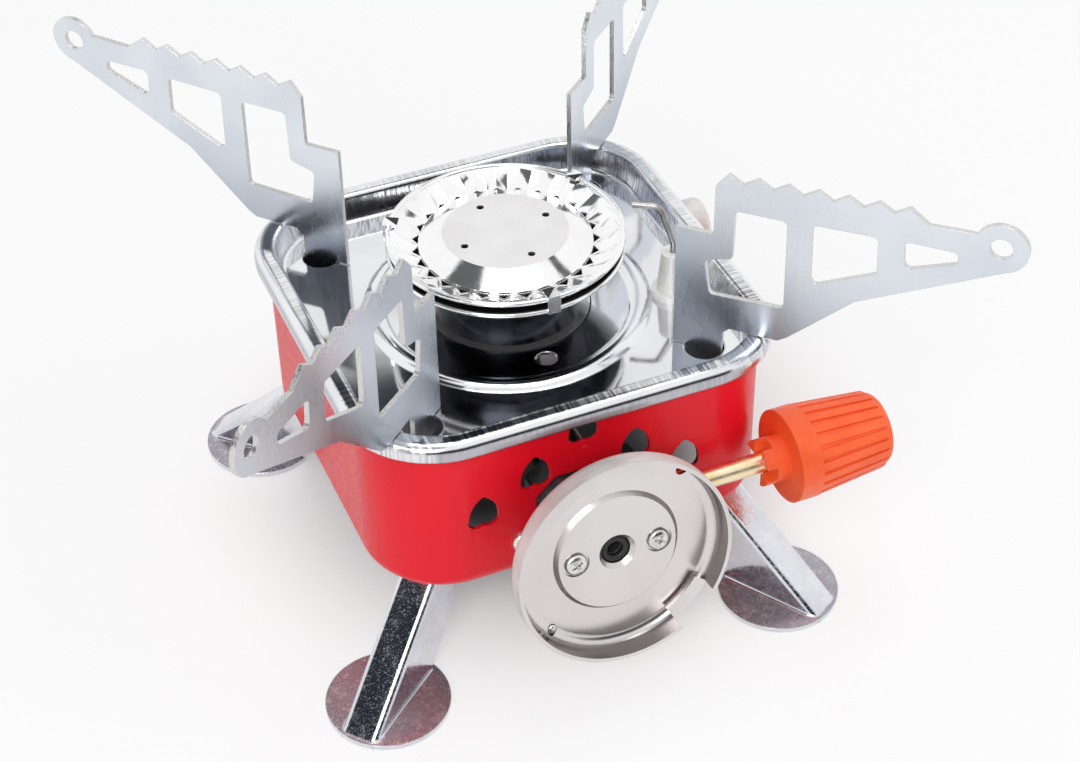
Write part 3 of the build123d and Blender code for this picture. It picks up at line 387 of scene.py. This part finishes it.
def tube_steel():
    # Painted shade: the mixing tube is painted far darker than bare steel, as shade inside the shell.
    made = Finish("tube_steel", Metallic=1.0)
    cloud = made.noise(120, detail=6)
    made.set(Base_Color=made.mottle(cloud, (0.10, 0.098, 0.095), (0.24, 0.235, 0.225)))
    made.set(Roughness=made.remap(cloud, 0.3, 0.7, 0.3, 0.5))
    made.set(Normal=made.bump(made.noise(900), 0.00003, 0.4))
    return made


def valve_casting():
    made = Finish("valve_casting", Metallic=0.6)
    cloud = made.noise(260, detail=6)
    made.set(Base_Color=made.mottle(cloud, (0.045, 0.045, 0.05), (0.12, 0.12, 0.125)))
    made.set(Roughness=made.remap(cloud, 0.3, 0.7, 0.45, 0.7))
    made.set(Normal=made.bump(made.noise(1200, detail=4), 0.00012, 0.5, made.rounded(0.0004)))
    return made


def brass():
    made = Finish("brass", Metallic=1.0)
    turned = made.noise(2400, stretch=(1, 0.02, 0.02), detail=3)
    cloud = made.noise(180)
    made.set(Base_Color=made.mottle(cloud, (0.90, 0.72, 0.40), (0.96, 0.84, 0.58)))
    made.set(Roughness=made.remap(turned, 0.3, 0.7, 0.28, 0.42))
    made.set(Normal=made.bump(turned, 0.00002, 0.4))
    return made


def knob_plastic():
    made = Finish("knob_plastic", Subsurface_Weight=0.15, Subsurface_Scale=0.003, Specular_IOR_Level=0.5)
    cloud = made.noise(150)
    made.set(Base_Color=made.mottle(cloud, (0.88, 0.105, 0.022), (0.94, 0.14, 0.034)))
    made.set(Roughness=made.remap(made.noise(700), 0.3, 0.7, 0.34, 0.48))
    made.set(Normal=made.bump(made.noise(2200, detail=2), 0.00002, 0.35, made.rounded(0.0002)))
    return made


def fastener_zinc():
    made = Finish("fastener_zinc", Metallic=1.0)
    cloud = made.noise(500, detail=4)
    made.set(Base_Color=made.mottle(cloud, (0.66, 0.65, 0.62), (0.86, 0.85, 0.82)))
    made.set(Roughness=made.remap(cloud, 0.3, 0.7, 0.18, 0.34))
    made.set(Normal=made.bump(made.noise(1800), 0.00003, 0.4, made.rounded(0.0002)))
    return made


def ceramic():
    made = Finish("ceramic", Coat_Weight=0.5, Coat_Roughness=0.08)
    cloud = made.noise(200)
    made.set(Base_Color=made.mottle(cloud, (0.80, 0.79, 0.76), (0.88, 0.875, 0.86)))
    made.set(Roughness=made.remap(cloud, 0.3, 0.7, 0.2, 0.32))
    made.set(Normal=made.bump(made.noise(600), 0.00003, 0.3))
    return made


def moulded(name, dark, light, rough):
    """Moulded plastic or rubber: a little mottled, with a fine matte skin."""
    made = Finish(name)
    cloud = made.noise(260, detail=5)
    made.set(Base_Color=made.mottle(cloud, dark, light))
    made.set(Roughness=made.remap(made.noise(900), 0.3, 0.7, rough - 0.06, rough + 0.08))
    made.set(Normal=made.bump(made.noise(2000, detail=3), 0.00003, 0.4))
    return made


paint = red_paint()
primer = inner_primer()
edge = bare_edge()
plating = tray_plating()
polish = burner_polish()
satin = burner_satin()
heated = burner_under()
soot = burner_soot()
wire_finish = wire_steel()
zinc = support_zinc()
leg_finish = leg_steel()
cup_finish = cup_steel()
cup_side = cup_wall()
tube_finish = tube_steel()
casting = valve_casting()
brass_finish = brass()
orange = knob_plastic()
hardware = fastener_zinc()
glaze = ceramic()
black_rubber = moulded("seal_rubber", (0.008, 0.008, 0.009), (0.022, 0.022, 0.022), 0.5)
grey_mould = moulded("igniter_plastic", (0.52, 0.52, 0.51), (0.66, 0.66, 0.65), 0.42)
pale_mould = moulded("button_plastic", (0.68, 0.68, 0.67), (0.80, 0.80, 0.79), 0.3)
lead_skin = moulded("lead_rubber", (0.60, 0.58, 0.54), (0.74, 0.72, 0.68), 0.45)


def shell_inside(centre, normal):
    """Faces of the housing that look into it."""
    flat = Vector((centre.x, centre.y, 0)).normalized()
    return normal.dot(flat) < -0.3 or (normal.z > 0.5 and centre.z < SHELL_LEDGE)


def cap_top(centre, normal):
    return normal.z > 0.95


def pan_inside(centre, normal):
    return normal.z > 0.05 and math.hypot(centre.x, centre.y) < BURNER_RIM_RADIUS - 0.5


def pan_outside(centre, normal):
    return normal.z < -0.05 and math.hypot(centre.x, centre.y) < BURNER_RIM_RADIUS - 0.35


def ring_under(centre, normal):
    return normal.z < -0.1 and math.hypot(centre.x, centre.y) < BURNER_RIM_RADIUS - 0.3


def cup_outside(centre, normal):
    """The outer side of the cup's wall, away from its axis."""
    arm = centre - CUP_BACK / MM
    arm -= CUP_OUT * arm.dot(CUP_OUT)
    return arm.length > CUP_WALL_REACH and normal.dot(arm.normalized()) > 0.3


def plate_cut(normal_axis):
    """Faces across the thickness of a plate that lies square to an axis."""
    return lambda centre, normal: abs(normal.dot(normal_axis)) < 0.5


# The housing's faces that look into it get painted shade.
dress("housing", paint, [(shell_inside, primer)])
dress("tray", plating)
# Burner base: painted shade and painted dark reflection.
dress("burner_base", heated)
# Pan and ring: polished, with painted shade inside the pan and under the ring, and a painted dark underside.
dress("burner_pan", polish, [(pan_inside, soot), (pan_outside, heated)])
dress("flame_ring", polish, [(ring_under, soot)])
dress("burner_cap", polish, [(cap_top, satin)])
dress("mixing_tube", tube_finish)
dress("valve_body", casting)
dress("cartridge_cup", cup_finish, [(cup_outside, cup_side)])
for name in ("gas_jet", "gland_nut", "spindle"):
    dress(name, brass_finish)
dress("knob", orange)
for name in ("lock_nut", "cup_screws", "valve_screws", "leg_rivets", "igniter_nut"):
    dress(name, hardware)
dress("inlet_seal", black_rubber)
dress("igniter_body", grey_mould)
dress("igniter_button", pale_mould)
dress("electrode_insulator", glaze)
dress("electrode_wire", wire_finish)
dress("ignition_lead", lead_skin)
for corner, turn in SUPPORT_TURNS.items():
    across = Vector((math.sin(math.radians(turn)), -math.cos(math.radians(turn)), 0))
    dress(f"pot_support_{corner}", zinc, [(plate_cut(across), edge)])
    dress(f"leg_{corner}", leg_finish)


# Small hardware

def lathe(bm, profile, centre, axis, steps=40):
    """Turn a profile of (radius, height) round an axis; a radius of 0 closes the end."""
    turn = Vector(axis).to_track_quat("Z", "Y").to_matrix()
    rings = []
    for radius, height in profile:
        if radius == 0:
            rings.append([bm.verts.new(Vector(centre) + turn @ Vector((0, 0, height)))])
            continue
        spots = [math.tau * step / steps for step in range(steps)]
        points = [Vector((radius * math.cos(a), radius * math.sin(a), height)) for a in spots]
        rings.append([bm.verts.new(Vector(centre) + turn @ point) for point in points])
    for first, second in zip(rings, rings[1:]):
        for step in range(steps):
            after = (step + 1) % steps
            corners = [first[step % len(first)], first[after % len(first)]]
            corners += [second[after % len(second)], second[step % len(second)]]
            bm.faces.new(dict.fromkeys(corners))


def closed_mesh(name, bm):
    """A mesh with its faces turned outwards, from a bmesh that is freed."""
    bmesh.ops.recalc_face_normals(bm, faces=bm.faces)
    mesh = bpy.data.meshes.new(name)
    bm.to_mesh(mesh)
    bm.free()
    return mesh


def linked(name, data):
    """An object in the scene, from a mesh, a light or a camera."""
    made = bpy.data.objects.new(name, data)
    bpy.context.scene.collection.objects.link(made)
    return made


def piece(name, bm, finish, body):
    """Make a mesh piece with its finish, which rides on a body."""
    mesh = closed_mesh(name, bm)
    mesh.materials.append(finish.material)
    mesh.shade_smooth()
    mesh.set_sharp_from_angle(angle=SHARP_EDGE)
    made = linked(name, mesh)
    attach(made, body)
    return made


def cross_tool(centre, axis, spin, reach, width, depth, top):
    """A tapered cross to cut a screw's recess with."""
    bm = bmesh.new()
    turn = Vector(axis).to_track_quat("Z", "Y").to_matrix() @ Matrix.Rotation(spin, 3, "Z")
    for quarter in range(2):
        arm = turn @ Matrix.Rotation(quarter * math.pi / 2, 3, "Z")
        spots = []
        for height, share in ((top + depth, 1.25), (top - depth, 0.55)):
            for x, y in ((-1, -1), (1, -1), (1, 1), (-1, 1)):
                point = Vector((x * reach * share, y * width * share, height))
                spots.append(bm.verts.new(Vector(centre) + arm @ point))
        bm.faces.new(spots[3::-1])
        bm.faces.new(spots[4:])
        for step in range(4):
            after = (step + 1) % 4
            bm.faces.new((spots[step], spots[after], spots[4 + after], spots[4 + step]))
    return linked("cross_tool", closed_mesh("cross_tool", bm))


def carve(made, tool, operation):
    """Join or cut a mesh piece with a tool, which goes."""
    cut = made.modifiers.new("carve", "BOOLEAN")
    cut.operation = operation
    cut.solver = "EXACT"
    cut.use_self = True
    cut.object = tool
    mesh = bpy.data.meshes.new_from_object(made.evaluated_get(bpy.context.evaluated_depsgraph_get()))
    made.modifiers.clear()
    made.data = mesh
    bpy.data.objects.remove(tool)


def cross_screw(name, centre, axis, spin, head, height, shank, length):
    """A pan-head screw with a cross recess; the centre is under its head."""
    bm = bmesh.new()
    crown = [(head * math.cos(a), height * (0.35 + 0.65 * math.sin(a))) for a in (0, 0.35, 0.7, 1.0, 1.25)]
    profile = [(0, height), *reversed(crown), (head, 0), (shank, 0), (shank, -length), (0, -length)]
    lathe(bm, profile, centre, axis)
    made = piece(name, bm, hardware, "stove_body")
    tool = cross_tool(centre, axis, spin, head * 0.62, head * 0.13, height * 0.55, height)
    carve(made, tool, "DIFFERENCE")
    return made


def on_cup(x, y, out):
    """A point of the cup's own plane, from millimetres across, up and out from its back."""
    return CUP_BACK + (Vector((1, 0, 0)) * x + CUP_UP * y + CUP_OUT * out) * MM


CUP_SCREW = {"head": 2.3 * MM, "height": 1.3 * MM, "shank": 1.5 * MM, "length": 5.4 * MM}
CUP_SCREW_REACH = 8.6
CUP_SCREW_SEAT = 1.2
VALVE_SCREW = {"head": 2.6 * MM, "height": 1.8 * MM, "shank": 1.5 * MM, "length": 4.0 * MM}
for label, side, spin in (("left", -1, 0.5), ("right", 1, 1.15)):
    seat = on_cup(side * CUP_SCREW_REACH, 0, CUP_SCREW_SEAT)
    made = cross_screw(f"cup_screw_{label}", seat, CUP_OUT, spin, **CUP_SCREW)
    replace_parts(made, "cup_screws")
    seat = Vector((side * VALVE_SCREW_REACH, -FRONT_WALL, VALVE_SCREW_LEVEL)) * MM
    made = cross_screw(f"valve_screw_{label}", seat, (0, -1, 0), spin + 0.6, **VALVE_SCREW)
    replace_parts(made, "valve_screws")


def rivet(bm, centre, axis, head, crown, shank, length, tail):
    """A domed rivet from its head to its headed-over tail."""
    rise = (0, 0.4, 0.8, 1.15)
    fall = crown * 0.8
    dome = [(head * math.cos(a), crown * math.sin(a)) for a in rise]
    shop = [(tail * math.cos(a), -length - fall * math.sin(a)) for a in rise]
    profile = [(0, crown), *reversed(dome), (shank, 0), (shank, -length), *shop, (0, -length - fall)]
    lathe(bm, profile, centre, axis)


STUD = {"head": 1.0 * MM, "crown": 0.5 * MM, "shank": 0.8 * MM, "length": 0.8 * MM, "tail": 1.0 * MM}
STUD_SEAT = (-14.4, -13.6, 0.95)
bm = bmesh.new()
rivet(bm, on_cup(*STUD_SEAT), CUP_OUT, **STUD)
piece("cup_stud", bm, hardware, "stove_body")

LEG_RIVET = {"head": 2.5 * MM, "crown": 1.2 * MM, "shank": 1.7 * MM, "length": 2.4 * MM, "tail": 2.5 * MM}
LEG_PIVOT_REACH = 45.0
LEG_RIVET_LEVEL = 21.4
bm = bmesh.new()
for turn in (math.radians(angle) for angle in (45, 135, 225, 315)):
    spot = Vector((LEG_PIVOT_REACH * math.cos(turn), LEG_PIVOT_REACH * math.sin(turn), LEG_RIVET_LEVEL)) * MM
    rivet(bm, spot, (0, 0, -1), **LEG_RIVET)
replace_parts(piece("leg_rivet_set", bm, hardware, "stove_body"), "leg_rivets")


# Ring round the foot of the burner base: radius and height over the tray's dish
BASE_RING = ((14.3, 0.02), (16.5, 0.02), (16.8, 0.25), (16.5, 0.5), (14.3, 0.5), (14.3, 0.02))
bm = bmesh.new()
profile = [(radius * MM, height * MM) for radius, height in BASE_RING]
lathe(bm, profile, Vector((0, 0, TRAY_DISH)) * MM, (0, 0, 1), 96)
bmesh.ops.remove_doubles(bm, verts=bm.verts, dist=WELD)
base_foot = piece("burner_base_foot", bm, polish, "stove_body")
# The ring's top stays polished; its other faces get the painted dark underside.
base_foot.data.materials.append(heated.material)
for face in base_foot.data.polygons:
    face.material_index = int(face.normal.z < 0.9)


# Front of the shell

HEARTS = ((-22.35, 42.2), (-11.65, 48.35), (-1.8, 56.25), (9.0, 48.35), (19.6, 41.5))
HEART_LOBE = 1.80
HEART_LOBE_CENTRE = (1.25, -1.95)
HEART_LOBE_TURN = 122
HEART_SIDE_PULL = (3.05, 1.75)
HEART_SIDE_END = (0.45, 3.65)
HEART_NOTCH = -3.22
HEART_TIP = 3.88
HEART_STEPS = 8
VALVE_CUT = ((-11.6, 27.6), (11.6, 27.6), (11.6, 41.8), (7.6, 45.8), (-7.6, 45.8), (-11.6, 41.8))
SCREW_HOLE = 1.55
PLATE = ((-23.9, 27.2), (23.9, 27.2), (23.9, 60.9), (-23.9, 60.9))
PLATE_DEPTHS = (41.49, 40.71)
CUT_DEPTHS = (42.5, 39.5)


def heart(x, z):
    """Outline of an inverted heart, point up, with full sides and a shallow notch."""
    side = []
    for step in range(HEART_STEPS + 1):
        turn = math.radians(-HEART_LOBE_TURN + HEART_LOBE_TURN * step / HEART_STEPS)
        across, up = HEART_LOBE_CENTRE
        side.append((across + HEART_LOBE * math.cos(turn), up + HEART_LOBE * math.sin(turn)))
    lobe_end = side[-1]
    for step in range(1, HEART_STEPS + 1):
        share = step / HEART_STEPS
        side.append(tuple(
            (1 - share) ** 2 * start + 2 * share * (1 - share) * pull + share**2 * end
            for start, pull, end in zip(lobe_end, HEART_SIDE_PULL, HEART_SIDE_END)
        ))
    ring = [(0, HEART_NOTCH), *side, (0, HEART_TIP), *((-across, up) for across, up in reversed(side))]
    return [(x + across, z + up) for across, up in ring]


def round_hole(x, z, radius, steps=24):
    """Outline of a round hole in the front wall."""
    turns = [math.tau * step / steps for step in range(steps)]
    return [(x + radius * math.cos(a), z + radius * math.sin(a)) for a in turns]


def wall_tool(loops, outer, inner):
    """Prisms through the front wall, from loops of millimetres across and up."""
    bm = bmesh.new()
    for loop in loops:
        near = [bm.verts.new(Vector((x, -outer, z)) * MM) for x, z in loop]
        far = [bm.verts.new(Vector((x, -inner, z)) * MM) for x, z in loop]
        bm.faces.new(near)
        bm.faces.new(far[::-1])
        for step in range(len(loop)):
            after = (step + 1) % len(loop)
            bm.faces.new((near[step], far[step], far[after], near[after]))
    return linked("wall_tool", closed_mesh("wall_tool", bm))


bm = bmesh.new()
bm.from_mesh(nodes["housing"].data)
bmesh.ops.remove_doubles(bm, verts=bm.verts, dist=WELD)
shell = piece("housing_shell", bm, paint, "stove_body")
carve(shell, wall_tool([PLATE], *PLATE_DEPTHS), "UNION")
cuts = [heart(*spot) for spot in HEARTS] + [VALVE_CUT]
cuts += [round_hole(x, VALVE_SCREW_LEVEL, SCREW_HOLE) for x in (-VALVE_SCREW_REACH, VALVE_SCREW_REACH)]
carve(shell, wall_tool(cuts, *CUT_DEPTHS), "DIFFERENCE")
shell.data.materials.clear()
shell.data.materials.append(paint.material)
shell.data.materials.append(primer.material)
# Paint outside, and painted shade on the faces that look into the shell.
for face in shell.data.polygons:
    face.material_index = int(shell_inside(face.center / MM, face.normal))
    face.use_smooth = True
shell.data.set_sharp_from_angle(angle=SHARP_EDGE)
even = shell.modifiers.new("even", "WEIGHTED_NORMAL")
even.weight = 100
even.keep_sharp = True
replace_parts(shell, "housing")


# Floor, backdrop and light

def stage_plane(name, size, centre, normal):
    """A flat rectangle with its face along a normal."""
    mesh = bpy.data.meshes.new(name)
    wide, tall = size[0] / 2, size[1] / 2
    corners = [(-wide, -tall, 0), (wide, -tall, 0), (wide, tall, 0), (-wide, tall, 0)]
    mesh.from_pydata(corners, [], [(0, 1, 2, 3)])
    made = linked(name, mesh)
    turn = Vector(normal).to_track_quat("Z", "Y").to_matrix().to_4x4()
    made.matrix_world = Matrix.Translation(centre) @ turn
    return made


def seen_ray(tree):
    """1 on rays from the camera and on rays that metal and clear surfaces send on."""
    path = tree.nodes.new("ShaderNodeLightPath")
    total = path.outputs["Is Camera Ray"]
    for key in ("Is Glossy Ray", "Is Transmission Ray"):
        joined = tree.nodes.new("ShaderNodeMath")
        joined.operation = "MAXIMUM"
        tree.links.new(total, joined.inputs[0])
        tree.links.new(path.outputs[key], joined.inputs[1])
        total = joined.outputs[0]
    return total


def covered(tree, place, sides):
    """1 inside a box and 0 outside: each side has its axis, where cover starts and where it is full."""
    parts = tree.nodes.new("ShaderNodeSeparateXYZ")
    tree.links.new(place, parts.inputs[0])
    cover = None
    for axis, start, full in sides:
        fade = tree.nodes.new("ShaderNodeMapRange")
        fade.interpolation_type = "SMOOTHSTEP"
        fade.inputs[1].default_value = start
        fade.inputs[2].default_value = full
        tree.links.new(parts.outputs[axis], fade.inputs[0])
        if cover is None:
            cover = fade.outputs[0]
            continue
        joined = tree.nodes.new("ShaderNodeMath")
        joined.operation = "MULTIPLY"
        tree.links.new(cover, joined.inputs[0])
        tree.links.new(fade.outputs[0], joined.inputs[1])
        cover = joined.outputs[0]
    return cover


# The floor in metres: where it is lifted towards white, and the sides of the painted shadow under the stove
FLOOR_MIDDLE = (0.014, 0.020, 0)
FLOOR_LIFT_START = 0.030
FLOOR_LIFT_FULL = 0.085
FLOOR_LIFT = 0.72
UNDER_STOVE = (("X", -0.030, -0.006), ("X", 0.062, 0.030), ("Y", -0.020, 0.004), ("Y", 0.070, 0.034))


def floor_material():
    """White paper with a painted shadow under the stove, dark behind the vents, with rendered shadow and a
    weak gloss, and lifted to white where seen.
    """
    made = bpy.data.materials.new("floor")
    made.use_nodes = True
    tree = made.node_tree
    shader = tree.nodes["Principled BSDF"]
    shader.inputs["Roughness"].default_value = 0.4
    shader.inputs["Specular IOR Level"].default_value = 0.12
    glow = tree.nodes.new("ShaderNodeEmission")
    glow.inputs["Strength"].default_value = 1.0
    place = tree.nodes.new("ShaderNodeNewGeometry")
    reach = tree.nodes.new("ShaderNodeVectorMath")
    reach.operation = "DISTANCE"
    reach.inputs[1].default_value = FLOOR_MIDDLE
    tree.links.new(place.outputs["Position"], reach.inputs[0])
    open_floor = tree.nodes.new("ShaderNodeMapRange")
    open_floor.interpolation_type = "SMOOTHSTEP"
    open_floor.inputs[1].default_value = FLOOR_LIFT_START
    open_floor.inputs[2].default_value = FLOOR_LIFT_FULL
    open_floor.inputs[4].default_value = FLOOR_LIFT
    tree.links.new(reach.outputs["Value"], open_floor.inputs[0])
    # Painted shadow: the paper is painted near black inside a soft box under the stove.
    paper = tree.nodes.new("ShaderNodeMix")
    paper.data_type = "RGBA"
    paper.inputs[6].default_value = (0.90, 0.90, 0.905, 1)
    paper.inputs[7].default_value = (0.045, 0.045, 0.048, 1)
    tree.links.new(covered(tree, place.outputs["Position"], UNDER_STOVE), paper.inputs[0])
    tree.links.new(paper.outputs[2], shader.inputs["Base Color"])
    share = tree.nodes.new("ShaderNodeMath")
    share.operation = "MULTIPLY"
    tree.links.new(open_floor.outputs[0], share.inputs[1])
    tree.links.new(seen_ray(tree), share.inputs[0])
    blend = tree.nodes.new("ShaderNodeMixShader")
    tree.links.new(share.outputs[0], blend.inputs[0])
    tree.links.new(shader.outputs[0], blend.inputs[1])
    tree.links.new(glow.outputs[0], blend.inputs[2])
    tree.links.new(blend.outputs[0], tree.nodes["Material Output"].inputs["Surface"])
    return made


floor = stage_plane("floor", (6, 6), (0, 0, -0.0002), (0, 0, 1))
floor.data.materials.append(floor_material())

world = bpy.data.worlds.new("studio")
world.use_nodes = True
bpy.context.scene.world = world
sky = world.node_tree.nodes["Background"]
sky.inputs["Color"].default_value = (1, 1, 1, 1)
lift = world.node_tree.nodes.new("ShaderNodeMapRange")
lift.inputs[3].default_value = 0.5
lift.inputs[4].default_value = 1.0
world.node_tree.links.new(seen_ray(world.node_tree), lift.inputs[0])
world.node_tree.links.new(lift.outputs[0], sky.inputs["Strength"])


def softbox(name, place, target, size, power):
    light = bpy.data.lights.new(name, "AREA")
    light.shape = "RECTANGLE"
    light.size, light.size_y = size
    light.energy = power
    made = linked(name, light)
    made.location = place
    made.rotation_euler = (Vector(target) - Vector(place)).to_track_quat("-Z", "Y").to_euler()
    made.visible_camera = False
    return made


def soft_card(name, size, centre, target, shade, soft):
    """A flag that only polished metal sees, with edges that fade over a width."""
    made = stage_plane(name, size, centre, Vector(target) - Vector(centre))
    finish = bpy.data.materials.new(name)
    finish.use_nodes = True
    tree = finish.node_tree
    place = tree.nodes.new("ShaderNodeTexCoord")
    sides = []
    for axis, half in (("X", size[0] / 2), ("Y", size[1] / 2)):
        sides += [(axis, -half, soft - half), (axis, half, half - soft)]
    cover = covered(tree, place.outputs["Object"], sides)
    clear = tree.nodes.new("ShaderNodeBsdfTransparent")
    glow = tree.nodes.new("ShaderNodeEmission")
    glow.inputs["Color"].default_value = (shade, shade * 1.08, shade * 1.3, 1)
    blend = tree.nodes.new("ShaderNodeMixShader")
    tree.links.new(cover, blend.inputs[0])
    tree.links.new(clear.outputs[0], blend.inputs[1])
    tree.links.new(glow.outputs[0], blend.inputs[2])
    tree.links.new(blend.outputs[0], tree.nodes["Material Output"].inputs["Surface"])
    made.data.materials.append(finish)
    made.visible_camera = False
    made.visible_diffuse = False
    made.visible_transmission = False
    made.visible_shadow = False
    return made


middle = (0, 0, 0.05)
softbox("key", (-0.5, -0.75, 0.75), middle, (0.5, 0.5), 5.0)
softbox("top", (0.1, 0.12, 1.05), middle, (0.5, 0.5), 2.6)
softbox("fill", (0.9, -0.4, 0.5), middle, (0.5, 0.5), 2.0).visible_glossy = False
soft_card("flag_back", (0.43, 0.50), (0.16, 0.60, 0.75), (0.16, 0.60, 0.0), 0.035, 0.06)
soft_card("flag_cap", (0.24, 0.32), (-0.25, 0.24, 0.75), (-0.25, 0.24, 0.0), 0.035, 0.04)
soft_card("flag_right", (0.13, 0.22), (0.47, 0.06, 0.75), (0.47, 0.06, 0.0), 0.035, 0.04)
soft_card("flag_left", (0.7, 0.8), (-0.72, -0.12, 0.72), (-0.05, -0.05, 0.02), 0.03, 0.13)
soft_card("flag_front", (1.5, 0.7), (0.05, -0.95, 0.34), (0.0, 0.0, 0.06), 0.03, 0.15)


# Camera at the photo's view

CAMERA_PLACE = (-0.12599, -0.32221, 0.32265)
CAMERA_ANGLES = (22.38, 39.73, -1.10)


def photo_camera():
    """A camera that looks down at the stove from the front left, from an azimuth, an elevation and a roll."""
    data = bpy.data.cameras.new("camera")
    data.lens = 72.41
    data.sensor_width = 36
    data.sensor_fit = "HORIZONTAL"
    data.clip_start = 0.01
    made = linked("camera", data)
    azimuth, elevation, roll = (math.radians(angle) for angle in CAMERA_ANGLES)
    level = math.cos(elevation)
    forward = Vector((math.sin(azimuth) * level, math.cos(azimuth) * level, -math.sin(elevation)))
    right = Vector((math.cos(azimuth), -math.sin(azimuth), 0))
    up = right.cross(forward)
    across = right * math.cos(roll) + up * math.sin(roll)
    above = up * math.cos(roll) - right * math.sin(roll)
    turn = Matrix((across, above, -forward)).transposed().to_4x4()
    made.matrix_world = Matrix.Translation(CAMERA_PLACE) @ turn
    bpy.context.scene.camera = made


photo_camera()
bpy.context.scene.view_settings.view_transform = "Standard"
